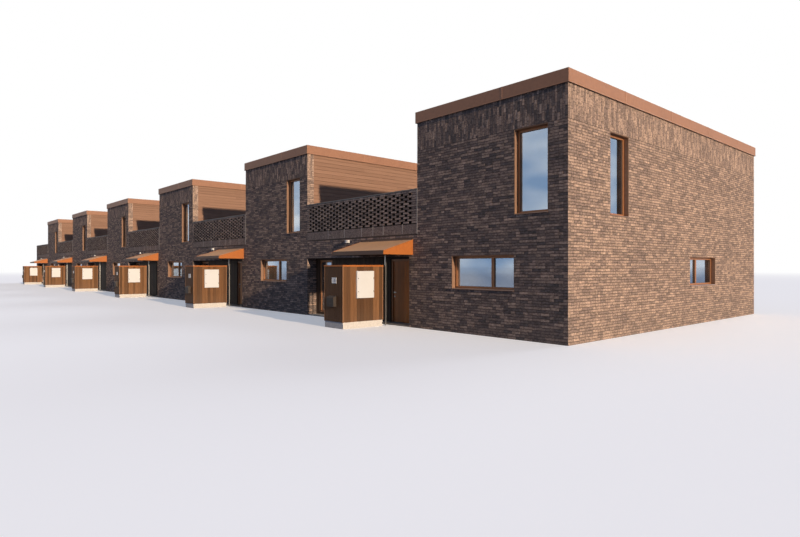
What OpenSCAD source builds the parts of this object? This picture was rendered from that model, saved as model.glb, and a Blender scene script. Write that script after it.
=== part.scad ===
// Row of six brick houses, a 1:2 scale model in millimetres of the model.
// Each house is a two-storey block with a one-storey link, entrance and roof terrace beside it.
// The near gable looks along +X, the street fronts along -Y, and the ground is at Z = 0.

/* [Row] */
// Number of houses in the row
houses = 6; // [2:1:6]
// Distance from one block to the next along the row
pitch = 5835; // [5400:5:6500]
// Width of the brick block of one house
block_w = 2660; // [2560:5:2900]
// Depth of the houses from street to garden
depth = 6920; // [5600:10:8000]
// Thickness of the outer walls
wall_t = 150; // [130:5:170]
// Height of one brick course
course_h = 37.5; // [36:0.5:39]

/* [Floors and roofs] */
// Part of the ground slabs that stands above the ground
ground_t = 20; // [14:1:30]
// Level of the upper floor
floor_z = 1450; // [1400:10:1500]
// Thickness of the upper floor
floor_t = 125; // [90:5:180]
// Level of the roof terraces
terrace_z = 1500; // [1480:5:1540]
// Thickness of the terrace slabs
terrace_t = 150; // [100:5:200]
// Thickness of the terrace-side boards with their battens
board_t = 25; // [18:1:40]
// Level of the flat roofs
roof_z = 3200; // [3150:5:3205]
// Thickness of the flat roofs
roof_t = 140; // [100:5:200]
// Top of the metal roof edge
edge_top = 3385; // [3370:5:3450]
// Height of the metal roof edge
edge_h = 175; // [140:5:200]
// Distance that the roof edge stands out from the wall
edge_out = 25; // [18:1:40]
// Thickness of the roof edge's folded metal
edge_sheet = 12; // [6:1:14]

/* [Windows] */
// Width of a tall upper window
tall_w = 520; // [460:5:560]
// Number of brick courses in the height of a tall window
tall_courses = 30; // [26:1:31]
// Number of brick courses below the sill of a tall window
tall_sill_courses = 44; // [43:1:46]
// Width of a low ground-floor window
low_w = 1125; // [1000:5:1200]
// Number of brick courses in the height of a low window
low_courses = 13; // [11:1:14]
// Number of brick courses below the sill of a low window
low_sill_courses = 17; // [15:1:18]
// Share of a low window that its narrow pane takes
low_split = 0.35; // [0.25:0.01:0.5]
// Distance from the block's corner to the tall front window
tall_front_at = 280; // [200:5:330]
// Distance from the block's corner to the low front window
low_front_at = 800; // [760:5:1000]
// Distance from the street front to the tall gable window
tall_gable_at = 1030; // [700:10:1800]
// Distance from the street front to the low gable window
low_gable_at = 3680; // [3000:10:4200]
// Depth of the metal lining from the brick face to the frame
reveal_d = 68; // [60:1:74]
// Thickness of the lining
lining_t = 8; // [5:1:12]
// Width of a window frame's bars
frame_w = 42; // [34:1:52]
// Depth of a window frame
frame_d = 46; // [40:1:52]
// Width of the sash that stands out round each pane
sash_w = 17; // [12:1:22]
// Distance that the sash stands out from the frame
sash_out = 5; // [3:0.5:7]
// Thickness of the glazing
glass_t = 12; // [8:1:14]
// Distance of the glazing behind the frame's face
glass_back = 17; // [13:0.5:20]
// Distance that the glazing reaches into the frame's groove
glass_in = 6; // [4:0.5:8]
// Clearance between the glazing's edge and the bottom of the groove
glass_gap = 2; // [1:0.5:3]
// Distance that a sill stands out from the wall
sill_out = 16; // [10:1:24]
// Thickness of a sill
sill_t = 9; // [6:1:12]
// Thickness of a sill's drip edge
sill_drip = 3; // [2:0.5:4]

/* [Link and recess] */
// Number of brick courses below the recess, which is its head height
recess_courses = 30; // [29:1:31]
// Width of the brick pier beside the entrance
pier_w = 185; // [150:5:230]
// Depth of the entrance recess from the brick face
recess_d = 215; // [190:5:260]
// Thickness of the boarded wall behind the recess
panel_t = 60; // [54:1:80]
// Open joint between the panels of the boarded wall
panel_gap = 3; // [1:0.5:5]
// Distance from the block to the entrance door's opening
door_at = 350; // [300:5:420]
// Width of the door's opening
door_open_w = 530; // [500:5:560]
// Height of the door's opening
door_open_h = 1090; // [1050:5:1120]
// Width of the glazed opening beside the party wall
side_light_w = 430; // [320:5:520]
// Distance from the next block to the glazed opening
side_light_at = 130; // [90:5:200]
// Height of the glazed opening's sill
side_light_z = 60; // [40:5:120]

/* [Doors] */
// Width of the door frame's bars
jamb_w = 25; // [20:1:30]
// Depth of the door frame
jamb_d = 50; // [46:1:52]
// Cover of the frame's stop over the door's edge
stop_w = 10; // [8:1:12]
// Running gap round the door leaf
leaf_gap = 6; // [5.5:0.1:8]
// Thickness of the door leaf
leaf_t = 28; // [24:1:28]
// Radius of a hinge's knuckles
knuckle_r = 7; // [6:0.5:7.5]
// Radius of a hinge's pin
pin_r = 3.5; // [2.5:0.1:4]
// Clearance between the pin and the door's knuckle
pin_gap = 0.4; // [0.2:0.1:0.6]
// Height of the door's middle knuckle
knuckle_h = 40; // [30:1:60]
// Height of the frame's knuckle above and below it
fixed_h = 24; // [18:1:36]
// Thickness of a hinge's plates
hinge_t = 4; // [3:0.5:5]
// Distance of the outer hinges from the leaf's ends
hinge_in = 90; // [80:1:140]
// Height of the handle above the ground
handle_z = 525; // [490:5:560]
// Length of the handle's lever
lever_l = 62; // [50:1:75]
// Radius of the lever
lever_r = 5; // [4:0.5:6]
// Reach of the lever from the leaf
lever_reach = 24; // [20:1:28]
// Distance of the handle's rose from the leaf's free edge
rose_in = 34; // [30:1:42]
// Radius of the rose
rose_r = 13; // [10:0.5:15]
// Thickness of the rose
rose_t = 4; // [3:0.5:6]

/* [Brick screen] */
// Top of the brick screen
screen_top = 2190; // [2180:5:2230]
// Thickness of the screen, one brick on its bed
screen_t = 60; // [50:1:66]
// Number of brick courses below the lowest openings of the screen
screen_sill_courses = 44; // [43:1:46]
// Number of the screen's courses that hold openings
screen_rows = 13; // [9:1:13]
// Length of a brick in the screen
brick_l = 125; // [115:1:140]
// Width of an opening between two bricks
hole_w = 75; // [60:1:85]
// Mortar bed over and under an opening, where the joint stays open as well
bed_t = 5; // [3:0.5:6]
// Solid end of the screen beside its own block
screen_end = 125; // [100:5:180]
// Top of the brick band below the screen
band_top = 1635; // [1620:5:1640]

/* [Canopy] */
// Distance from the block to the canopy
canopy_at = 100; // [60:5:140]
// Length of the canopy along the front
canopy_l = 1345; // [1100:5:1500]
// Reach of the canopy towards the street
canopy_out = 610; // [500:5:700]
// Height of the canopy's soffit
canopy_z = 1155; // [1145:5:1200]
// Height of the canopy at the wall
canopy_h = 237; // [180:1:280]
// Height of the canopy's front edge
canopy_lip = 53; // [40:1:70]
// Distance of the canopy post from the front
post_out = 122; // [90:1:150]
// Side of the square canopy post
post_w = 20; // [16:1:30]
// Distance of the canopy post from the line of the shed's side
post_in = 20; // [10:1:40]

/* [Shed] */
// Distance from the block to the shed
shed_at = 610; // [600:5:640]
// Width of the shed along the row
shed_w = 500; // [440:5:560]
// Distance of the shed's back from the front
shed_back = 190; // [160:1:230]
// Depth of the shed
shed_d = 805; // [700:5:860]
// Top of the shed's boards
shed_top = 985; // [900:5:1010]
// Thickness of the boarded walls
shed_t = 20; // [14:1:28]
// Height of the concrete plinth
plinth_h = 103; // [80:1:130]
// Distance that the plinth lies behind the boards
plinth_in = 8; // [4:1:16]
// Height of the shed's metal cap
cap_h = 24; // [18:1:36]
// Distance that the cap stands out
cap_out = 6; // [4:1:12]
// Thickness of the cap's metal
cap_sheet = 4; // [3:0.5:6]
// Distance of the shed's door from its corners
shed_door_in = 34; // [24:1:60]
// Width of the open joint beside a shed's or a cabinet's door
groove_w = 3; // [2:0.5:4]
// Depth of that joint
groove_d = 5; // [3:0.5:8]

/* [Fittings] */
// Width of the meter cabinet
cabinet_w = 345; // [300:5:380]
// Height of the meter cabinet
cabinet_h = 425; // [380:5:460]
// Distance that the cabinet stands out
cabinet_out = 24; // [16:1:40]
// Height of the cabinet's foot
cabinet_z = 470; // [420:5:500]
// Distance of the cabinet from the shed's street corner
cabinet_at = 255; // [200:5:300]
// Width of the cabinet's rim round its door
cabinet_rim = 7; // [5:0.5:12]
// Width of the letterbox
letter_w = 190; // [160:5:220]
// Height of the letterbox
letter_h = 170; // [150:5:200]
// Depth of the letterbox
letter_d = 64; // [50:1:80]
// Height of the letterbox's foot
letter_z = 340; // [300:5:400]
// Distance of the letterbox from the shed's near corner
letter_at = 165; // [120:5:200]
// Distance that the letterbox's foot lies behind its lid
letter_taper = 11; // [6:1:16]
// Fall of the letterbox's lid
letter_fall = 26; // [20:1:34]
// Height of the lid's front flap
letter_flap = 26; // [18:1:34]
// Thickness of the lid's metal
letter_sheet = 3; // [2:0.5:4]
// Width of the number plate
plate_w = 120; // [100:1:140]
// Height of the number plate
plate_h = 92; // [80:1:100]
// Thickness of the number plate
plate_t = 4; // [3:0.5:8]
// Height of the number plate's foot
plate_z = 702; // [640:5:760]
// Distance from the block to the wall lamp
lamp_at = 1830; // [1600:5:2100]
// Height of the wall lamp's foot
lamp_z = 1395; // [1393:1:1440]
// Width of the wall lamp
lamp_w = 125; // [100:1:150]
// Height of the wall lamp
lamp_h = 44; // [36:1:50]
// Distance that the wall lamp stands out
lamp_out = 50; // [40:1:62]

/* [Hidden] */
$fn = 32;

// Small overlap that makes a cut pass through
cut = 1;
// Width of the link between two blocks
link_w = pitch - block_w;
// Walls end under the roof edge's metal
wall_top = edge_top - edge_sheet;
// Levels taken from the brick courses
recess_z = recess_courses * course_h;
tall_h = tall_courses * course_h;
tall_z = tall_sill_courses * course_h;
low_h = low_courses * course_h;
low_z = low_sill_courses * course_h;
screen_z = screen_sill_courses * course_h;
// Rear link window, under the middle of the terrace
link_window_at = link_w / 2 - low_w / 2;
// Door leaf inside its frame
leaf_w = door_open_w - 2 * jamb_w - 2 * leaf_gap;
leaf_z = ground_t + leaf_gap;
leaf_h = door_open_h - jamb_w - leaf_gap - leaf_z;
// Inner face of the boarded wall, where the door and its frame end
panel_in = recess_d + panel_t;
// Depth of the frame's stop, in front of the closed leaf
stop_d = jamb_d - leaf_t - leaf_gap;
// Hinge axis, in the gap at the door's edge and just inside the room
axis_u = block_w + door_at + jamb_w + leaf_gap / 2;
axis_y = panel_in + knuckle_r + 1;
// Heights of the three hinges
hinge_z = [leaf_z + hinge_in, leaf_z + leaf_h / 2, leaf_z + leaf_h - hinge_in];

// Outline of the whole row, used to put its middle over the origin
row_x0 = -(houses * pitch + wall_t);
row_x1 = edge_out;
row_y0 = -(shed_back + shed_d + letter_d);
row_y1 = depth + edge_out;
origin = [-(row_x0 + row_x1) / 2, -(row_y0 + row_y1) / 2, 0];

// Windows of each face as [distance along the face, sill height, width, height, first pane's share]
tall_front = [-tall_front_at - tall_w, tall_z, tall_w, tall_h, 1];
low_front = [-low_front_at - low_w, low_z, low_w, low_h, 1 - low_split];
front_windows = [tall_front, low_front];
gable_windows = [[tall_gable_at, tall_z, tall_w, tall_h, 1], [low_gable_at, low_z, low_w, low_h, low_split]];
rear_windows = [[tall_front_at, tall_z, tall_w, tall_h, 1], [low_front_at, low_z, low_w, low_h, low_split]];
terrace_windows = [[-tall_gable_at - tall_w, tall_z, tall_w, tall_h, 1]];
link_windows = [[-link_window_at - low_w, low_z, low_w, low_h, low_split]];

// Places a house of the row, with its near street corner at the origin and the row along -X
module house(i) {
    translate(origin + [-i * pitch, 0, 0]) children();
}

module every_house() {
    for (i = [0 : houses - 1]) house(i) children();
}

// Faces: X runs to the right along the face, Y up and Z out of the wall
module street_face() {
    rotate([90, 0, 0]) children();
}

module gable_face() {
    rotate([90, 0, 90]) children();
}

module garden_face() {
    translate([0, depth, 0]) rotate([90, 0, 180]) children();
}

module terrace_face() {
    translate([-block_w, 0, 0]) rotate([90, 0, -90]) children();
}

module link_garden_face() {
    translate([-block_w, depth, 0]) rotate([90, 0, 180]) children();
}

// A box between two distances along the row, two depths and two heights
module span(u0, u1, y0, y1, z0, z1) {
    translate([-u1, y0, z0]) cube([u1 - u0, y1 - y0, z1 - z0]);
}

// Outlines of the windows on a face
module openings(list) {
    for (w = list) translate([w[0], w[1]]) square([w[2], w[3]]);
}

// A wall on a face, from its left end to its right end
module wall_on_face(left, right, top, list) {
    translate([0, 0, -wall_t]) linear_extrude(wall_t) difference() {
        translate([left, 0]) square([right - left, top]);
        openings(list);
    }
}

module lining(w) {
    translate([w[0], w[1], -reveal_d]) linear_extrude(reveal_d) difference() {
        square([w[2], w[3]]);
        translate([lining_t, lining_t]) square([w[2] - 2 * lining_t, w[3] - 2 * lining_t]);
    }
}

// Outlines of the panes between the frame's bars, larger on every side by grow
module panes(w, grow = 0) {
    glazed = w[2] - (w[4] == 1 ? 2 : 3) * frame_w;
    first = w[4] * glazed;
    pane(w, 0, first, grow);
    if (w[4] < 1) pane(w, first + frame_w, glazed - first, grow);
}

module pane(w, left, width, grow) {
    translate([w[0] + frame_w + left - grow, w[1] + frame_w - grow])
        square([width + 2 * grow, w[3] - 2 * frame_w + 2 * grow]);
}

// Window frame with a raised sash round each pane and a groove in its bars, which holds the glazing
module frame(w) {
    translate([0, 0, -reveal_d - frame_d]) difference() {
        union() {
            linear_extrude(frame_d) translate([w[0], w[1]]) square([w[2], w[3]]);
            linear_extrude(frame_d + sash_out) panes(w, sash_w);
        }
        translate([0, 0, -cut]) linear_extrude(frame_d + sash_out + 2 * cut) panes(w);
        translate([0, 0, frame_d - glass_back - glass_t]) linear_extrude(glass_t)
            panes(w, glass_in + glass_gap);
    }
}

module glass(w) {
    translate([0, 0, -reveal_d - glass_back - glass_t]) linear_extrude(glass_t) panes(w, glass_in);
}

// Sloping metal sill with a drip edge, on the lining's lower side
module sill(w) {
    inner = w[2] - 2 * lining_t;
    translate([w[0] + lining_t, w[1] + lining_t, 0]) rotate([90, 0, 90]) linear_extrude(inner)
        polygon([[sill_t, -reveal_d], [0, -reveal_d], [0, 0], [-lining_t, 0], [-lining_t, sill_out],
            [-lining_t + sill_drip, sill_out], [sill_t / 2, sill_drip], [sill_t / 2, 0]]);
}

// The same fitting for all windows of the row
module all_windows(part) {
    every_house() {
        street_face() for (w = front_windows) window_part(part, w);
        garden_face() for (w = rear_windows) window_part(part, w);
        terrace_face() for (w = terrace_windows) window_part(part, w);
        link_garden_face() for (w = link_windows) window_part(part, mirrored(w));
    }
    house(0) gable_face() for (w = gable_windows) window_part(part, w);
}

function mirrored(w) = [-w[0] - w[2], w[1], w[2], w[3], w[4]];

module window_part(part, w) {
    if (part == "lining") lining(w);
    if (part == "frame") frame(w);
    if (part == "glass") glass(w);
    if (part == "sill") sill(w);
}

module ground_slabs() {
    color("lightgray") every_house() {
        span(wall_t, block_w - wall_t, wall_t, depth - wall_t, 0, ground_t);
        difference() {
            span(block_w, pitch, 0, depth - wall_t, 0, ground_t);
            span(block_w - cut, block_w + pier_w, -cut, recess_d, -cut, ground_t + cut);
        }
    }
}

module upper_floors() {
    color("silver") every_house()
        span(wall_t, block_w - wall_t, wall_t, depth - wall_t, floor_z - floor_t, floor_z);
}

module terrace_slabs() {
    color("gray") every_house()
        span(block_w, pitch, wall_t, depth - wall_t, terrace_z - terrace_t, terrace_z);
}

module flat_roofs() {
    color("dimgray") every_house()
        span(wall_t, block_w - wall_t, wall_t, depth - wall_t, roof_z - roof_t, roof_z);
}

// Outline of a block, moved out or in by an offset
module block_outline(out) {
    translate([-block_w - out, -out]) square([block_w + 2 * out, depth + 2 * out]);
}

// Folded metal channel over the wall tops
module roof_edges() {
    color("peru") every_house() difference() {
        translate([0, 0, edge_top - edge_h]) linear_extrude(edge_h) difference() {
            block_outline(edge_out);
            block_outline(-wall_t - edge_sheet);
        }
        translate([0, 0, edge_top - edge_h - cut]) linear_extrude(edge_h - edge_sheet + cut) difference() {
            block_outline(edge_out - edge_sheet);
            block_outline(-wall_t);
        }
    }
}

module front_walls() {
    color("#4a4340") every_house() street_face() wall_on_face(-block_w, 0, wall_top, front_windows);
}

module rear_walls() {
    color("#4a4340") every_house() garden_face() wall_on_face(0, block_w, wall_top, rear_windows);
}

module gable_wall() {
    color("#6b5a4e") house(0) gable_face() wall_on_face(wall_t, depth - wall_t, wall_top, gable_windows);
}

// Side wall in section: full thickness below the terrace and set back behind the boards above it
module side_section() {
    polygon([[-wall_t, 0], [0, 0], [0, terrace_z], [-board_t, terrace_z], [-board_t, wall_top],
        [-wall_t, wall_top]]);
}

module right_side_wall() {
    translate([0, depth - wall_t, 0]) rotate([90, 0, 0]) linear_extrude(depth - 2 * wall_t) side_section();
}

module left_side_wall() {
    difference() {
        translate([-block_w, depth - wall_t, 0]) rotate([90, 0, 0])
            linear_extrude(depth - 2 * wall_t) mirror([1, 0]) side_section();
        terrace_face() translate([0, 0, -wall_t - cut]) linear_extrude(wall_t + 2 * cut)
            openings(terrace_windows);
    }
}

module side_walls() {
    color("#5a4d45") {
        every_house() left_side_wall();
        for (i = [1 : houses - 1]) house(i) right_side_wall();
    }
}

module terrace_boards() {
    color("#9a7658") {
        every_house() terrace_face() translate([0, 0, -board_t]) linear_extrude(board_t) difference() {
            translate([wall_t - depth, terrace_z]) square([depth - 2 * wall_t, wall_top - terrace_z]);
            openings(terrace_windows);
        }
        for (i = [1 : houses - 1]) house(i)
            span(0, board_t, wall_t, depth - wall_t, terrace_z, wall_top);
    }
}

module far_party_wall() {
    color("#4a4340") house(houses - 1) span(pitch, pitch + wall_t, 0, depth, 0, screen_top);
}

module link_piers() {
    color("#4a4340") every_house() span(block_w, block_w + pier_w, 0, recess_d, 0, recess_z);
}

// Brick over the recess in section, thick as far as the terrace slab and one wall thick above it
module link_lintels() {
    color("#4a4340") every_house() translate([-block_w, 0, 0]) rotate([90, 0, -90]) linear_extrude(link_w)
        polygon([[0, recess_z], [-recess_d, recess_z], [-recess_d, terrace_z - terrace_t],
            [-wall_t, terrace_z - terrace_t], [-wall_t, band_top], [0, band_top]]);
}

module link_rear_walls() {
    color("#4a4340") every_house() link_garden_face() translate([0, 0, -wall_t]) linear_extrude(wall_t)
        difference() {
            square([link_w, screen_top]);
            for (w = link_windows) openings([mirrored(w)]);
        }
}

// Openwork brick: in each course a brick and an opening follow each other, shifted by half in the next
module screen_pattern() {
    step = (brick_l + hole_w) / 2;
    count = floor((link_w - screen_end - hole_w) / step);
    hole_h = course_h + bed_t;
    first = link_w - screen_end - hole_w;
    difference() {
        translate([0, band_top]) square([link_w, screen_top - band_top]);
        for (row = [0 : screen_rows - 1], col = [row % 2 : 2 : count])
            translate([first - col * step, screen_z + row * course_h - bed_t / 2]) square([hole_w, hole_h]);
    }
}

module brick_screens() {
    color("#3f3a38") every_house() translate([-pitch, screen_t, 0]) rotate([90, 0, 0])
        linear_extrude(screen_t) screen_pattern();
}

// The boarded wall behind the recess, split beside and over the door
module entrance_panels() {
    door_u = block_w + door_at;
    top = terrace_z - terrace_t;
    color("#3a2a20") every_house() {
        span(block_w, door_u, recess_d, panel_in, ground_t, top);
        span(door_u + panel_gap, door_u + door_open_w - panel_gap, recess_d, panel_in, door_open_h, top);
        difference() {
            span(door_u + door_open_w, pitch, recess_d, panel_in, ground_t, top);
            span(pitch - side_light_at - side_light_w, pitch - side_light_at, recess_d - cut, panel_in + cut,
                side_light_z, door_open_h);
        }
    }
}

// Frame and glass of the glazed opening, as a window of one pane
module side_light_part(part) {
    w = [-pitch + side_light_at, side_light_z, side_light_w, door_open_h - side_light_z, 1];
    every_house() translate([0, recess_d - reveal_d + (panel_t - frame_d) / 2, 0]) street_face()
        window_part(part, w);
}

module side_light_frames() {
    color("#8a4b22") side_light_part("frame");
}

module side_light_glass() {
    color("lightblue", 0.5) side_light_part("glass");
}

// Door frame with a stop on the street side
module door_frames() {
    color("#6b3a1e") every_house()
        translate([-block_w - door_at - door_open_w, panel_in, 0]) rotate([90, 0, 0]) {
            linear_extrude(jamb_d) frame_outline(jamb_w);
            translate([0, 0, jamb_d - stop_d]) linear_extrude(stop_d) frame_outline(jamb_w + stop_w);
        }
}

module frame_outline(bar) {
    difference() {
        translate([0, ground_t]) square([door_open_w, door_open_h - ground_t]);
        translate([bar, 0]) square([door_open_w - 2 * bar, door_open_h - bar]);
    }
}

// Fixed halves of the hinges: a pin with a knuckle and a plate above and below the door's knuckle
module door_hinges() {
    reach = knuckle_h / 2 + pin_gap + fixed_h;
    color("silver") every_house() for (z = hinge_z) translate([-axis_u, axis_y, z]) {
        translate([0, 0, -reach]) cylinder(r = pin_r, h = 2 * reach);
        for (foot = [-reach, reach - fixed_h]) translate([0, 0, foot]) {
            cylinder(r = knuckle_r, h = fixed_h);
            translate([0, panel_in - axis_y, 0]) cube([jamb_w, hinge_t, fixed_h]);
        }
    }
}

// Door leaf with the moving half of its hinges
module door(i) {
    if (i <= houses) color("#6e3b22") house(i - 1) difference() {
        union() {
            translate([-axis_u - leaf_gap / 2 - leaf_w, panel_in - leaf_t, leaf_z])
                cube([leaf_w, leaf_t, leaf_h]);
            for (z = hinge_z) translate([-axis_u, axis_y, z - knuckle_h / 2]) {
                cylinder(r = knuckle_r, h = knuckle_h);
                translate([-2 * jamb_w, panel_in - axis_y, 0]) cube([2 * jamb_w, hinge_t, knuckle_h]);
            }
        }
        for (z = hinge_z) translate([-axis_u, axis_y, z - knuckle_h / 2 - cut])
            cylinder(r = pin_r + pin_gap, h = knuckle_h + 2 * cut);
    }
}

// Lever handle on a round rose, one on each face of the leaf
module handle(i) {
    if (i <= houses) color("silver") house(i - 1)
        translate([-axis_u - leaf_gap / 2 - leaf_w + rose_in, panel_in - leaf_t / 2, handle_z])
            for (side = [0, 1]) mirror([0, side, 0]) translate([0, -leaf_t / 2, 0]) rotate([90, 0, 0]) {
                cylinder(r = rose_r, h = rose_t);
                cylinder(r = lever_r, h = lever_reach);
                translate([0, 0, lever_reach - lever_r]) rotate([0, 90, 0])
                    cylinder(r = lever_r, h = lever_l);
            }
}

// Canopy in section: a flat soffit, a thin front lip and a top that rises to the wall
module canopies() {
    color("#a9622f") every_house() translate([-block_w - canopy_at - canopy_l, 0, canopy_z])
        rotate([90, 0, 90]) linear_extrude(canopy_l)
            polygon([[0, 0], [-canopy_out, 0], [-canopy_out, canopy_lip], [0, canopy_h]]);
}

module canopy_posts() {
    post_u = block_w + shed_at + post_in;
    color("silver") every_house() span(post_u, post_u + post_w, -post_out, -post_out + post_w, 0, canopy_z);
}

// Puts a piece at the shed's near street corner, with X along its front
module at_shed() {
    every_house() translate([-block_w - shed_at - shed_w, -shed_back - shed_d, 0]) children();
}

// Boarded walls, with the joints of the door on the street side
module sheds() {
    color("#4b342a") at_shed() translate([0, 0, plinth_h]) linear_extrude(shed_top - plinth_h) difference() {
        square([shed_w, shed_d]);
        translate([shed_t, shed_t]) square([shed_w - 2 * shed_t, shed_d - 2 * shed_t]);
        for (x = [shed_door_in, shed_w - shed_door_in - groove_w])
            translate([x, -cut]) square([groove_w, groove_d + cut]);
    }
}

module shed_plinths() {
    color("#e8dcc8") at_shed() linear_extrude(plinth_h) translate([plinth_in, plinth_in])
        square([shed_w - 2 * plinth_in, shed_d - 2 * plinth_in]);
}

module shed_caps() {
    color("#a9622f") at_shed() translate([0, 0, shed_top - cap_h + cap_sheet]) difference() {
        translate([-cap_out, -cap_out, 0]) cube([shed_w + 2 * cap_out, shed_d + 2 * cap_out, cap_h]);
        translate([0, 0, -cut]) cube([shed_w, shed_d, cap_h - cap_sheet + cut]);
    }
}

// Cabinet with an open joint between its rim and its door
module meter_cabinets() {
    color("#efe6d8") at_shed() translate([shed_w, cabinet_at, cabinet_z]) rotate([90, 0, 90]) difference() {
        linear_extrude(cabinet_out) square([cabinet_w, cabinet_h]);
        translate([0, 0, cabinet_out - groove_d]) linear_extrude(groove_d + cut) difference() {
            cabinet_leaf(cabinet_rim);
            cabinet_leaf(cabinet_rim + groove_w);
        }
    }
}

module cabinet_leaf(inset) {
    translate([inset, inset]) square([cabinet_w - 2 * inset, cabinet_h - 2 * inset]);
}

// Letterbox: a body that narrows towards its foot, and a wider lid with a front flap
module letterboxes() {
    face = letter_d - letter_sheet;
    brow = letter_h - letter_fall;
    inner_top = letter_h - letter_sheet;
    color("#2e2a28") at_shed() translate([shed_w - letter_at - letter_w, 0, letter_z]) rotate([90, 0, 90]) {
        translate([0, 0, letter_sheet]) linear_extrude(letter_w - 2 * letter_sheet)
            polygon([[0, 0], [letter_taper - letter_d, 0], [-face, brow - letter_sheet], [0, inner_top]]);
        linear_extrude(letter_w)
            polygon([[0, inner_top], [-face, brow - letter_sheet], [-face, brow - letter_flap],
                [-letter_d, brow - letter_flap], [-letter_d, brow], [0, letter_h]]);
    }
}

module number_plates() {
    color("white") at_shed() translate([shed_w - letter_at - plate_w, 0, plate_z]) rotate([90, 0, 0])
        linear_extrude(plate_t) square([plate_w, plate_h]);
}

// Bulkhead lamp with a round front, an arc over the lamp's width
module wall_lamps() {
    r = (lamp_w * lamp_w / 4 + lamp_out * lamp_out) / (2 * lamp_out);
    color("white") every_house() translate([-block_w - lamp_at, 0, lamp_z]) linear_extrude(lamp_h)
        intersection() {
            translate([0, r - lamp_out]) circle(r = r, $fn = 48);
            translate([-lamp_w / 2, -lamp_out]) square([lamp_w, lamp_out]);
        }
}

module window_linings() {
    color("#8a4b22") all_windows("lining");
}

module window_frames() {
    color("#7a4424") all_windows("frame");
}

module window_glass() {
    color("lightblue", 0.5) all_windows("glass");
}

module window_sills() {
    color("#b9a48c") all_windows("sill");
}

ground_slabs();
upper_floors();
terrace_slabs();
flat_roofs();
roof_edges();
front_walls();
gable_wall();
side_walls();
terrace_boards();
rear_walls();
far_party_wall();
link_piers();
link_lintels();
link_rear_walls();
brick_screens();
entrance_panels();
side_light_frames();
side_light_glass();
door_frames();
door_hinges();
door(1);  // door_1
door(2);  // door_2
door(3);  // door_3
door(4);  // door_4
door(5);  // door_5
door(6);  // door_6
handle(1);  // handle_1
handle(2);  // handle_2
handle(3);  // handle_3
handle(4);  // handle_4
handle(5);  // handle_5
handle(6);  // handle_6
canopies();
canopy_posts();
sheds();
shed_plinths();
shed_caps();
meter_cabinets();
letterboxes();
number_plates();
wall_lamps();
window_linings();
window_frames();
window_glass();
window_sills();
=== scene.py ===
import math
import bpy
import numpy as np
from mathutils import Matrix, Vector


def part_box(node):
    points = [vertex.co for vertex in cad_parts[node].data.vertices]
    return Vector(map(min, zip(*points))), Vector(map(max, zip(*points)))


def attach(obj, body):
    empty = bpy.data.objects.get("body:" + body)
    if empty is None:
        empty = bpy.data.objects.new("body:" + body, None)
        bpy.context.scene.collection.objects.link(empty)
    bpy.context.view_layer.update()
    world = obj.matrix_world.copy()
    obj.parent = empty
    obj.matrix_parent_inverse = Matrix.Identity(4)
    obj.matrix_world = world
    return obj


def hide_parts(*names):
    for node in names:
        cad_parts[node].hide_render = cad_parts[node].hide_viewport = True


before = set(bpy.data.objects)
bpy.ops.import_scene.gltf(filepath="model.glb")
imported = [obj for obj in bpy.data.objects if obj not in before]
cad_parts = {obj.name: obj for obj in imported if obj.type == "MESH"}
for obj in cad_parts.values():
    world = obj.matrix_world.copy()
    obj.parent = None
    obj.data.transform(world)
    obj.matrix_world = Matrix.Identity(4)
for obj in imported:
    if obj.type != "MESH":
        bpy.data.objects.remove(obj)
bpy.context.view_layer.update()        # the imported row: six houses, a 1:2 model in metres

scene = bpy.context.scene

# Camera: the photograph's place, low across the street, with the horizon a little above the middle
camera = {"place": (21.301, -9.015, 0.966), "turn": 48.24, "lens": 25.28, "sensor": 36.0, "shiftY": -0.0025,
          "reach": 600.0}


def makeCamera():
    data = bpy.data.cameras.new("streetCamera")
    data.lens = camera["lens"]
    data.sensor_width = camera["sensor"]
    data.shift_y = camera["shiftY"]
    data.clip_end = camera["reach"]
    eye = bpy.data.objects.new("streetCamera", data)
    eye.location = camera["place"]
    eye.rotation_euler = (math.radians(90), 0, math.radians(camera["turn"]))
    scene.collection.objects.link(eye)
    scene.camera = eye


makeCamera()
print("camera set")

# Places of the row, read from the frame: street at low Y, near gable at high X
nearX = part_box("front_walls")[1].x
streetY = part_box("front_walls")[0].y
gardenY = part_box("rear_walls")[1].y
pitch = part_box("door_1")[0].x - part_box("door_2")[0].x
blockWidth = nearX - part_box("link_piers")[1].x
depth = gardenY - streetY
linkWidth = pitch - blockWidth
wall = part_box("gable_wall")[0].y - streetY
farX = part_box("far_party_wall")[0].x
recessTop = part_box("link_piers")[1].z
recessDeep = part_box("link_piers")[1].y - streetY
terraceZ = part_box("terrace_slabs")[1].z
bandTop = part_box("link_lintels")[1].z
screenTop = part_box("brick_screens")[1].z
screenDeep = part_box("brick_screens")[1].y - streetY
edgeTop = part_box("roof_edges")[1].z
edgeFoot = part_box("roof_edges")[0].z
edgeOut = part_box("roof_edges")[1].x - nearX
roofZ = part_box("flat_roofs")[1].z
houses = sum(name.startswith("door_") and name[5:].isdigit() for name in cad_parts)
blockNear = nearX - pitch * np.arange(houses)        # near side of each block
blockFar = blockNear - blockWidth                    # side towards its own link
near = 0.01                                          # anything nearer than this counts as the same

eastward = np.array([1.0, 0, 0])
northward = np.array([0, 1.0, 0])
upward = np.array([0, 0, 1.0])


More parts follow.
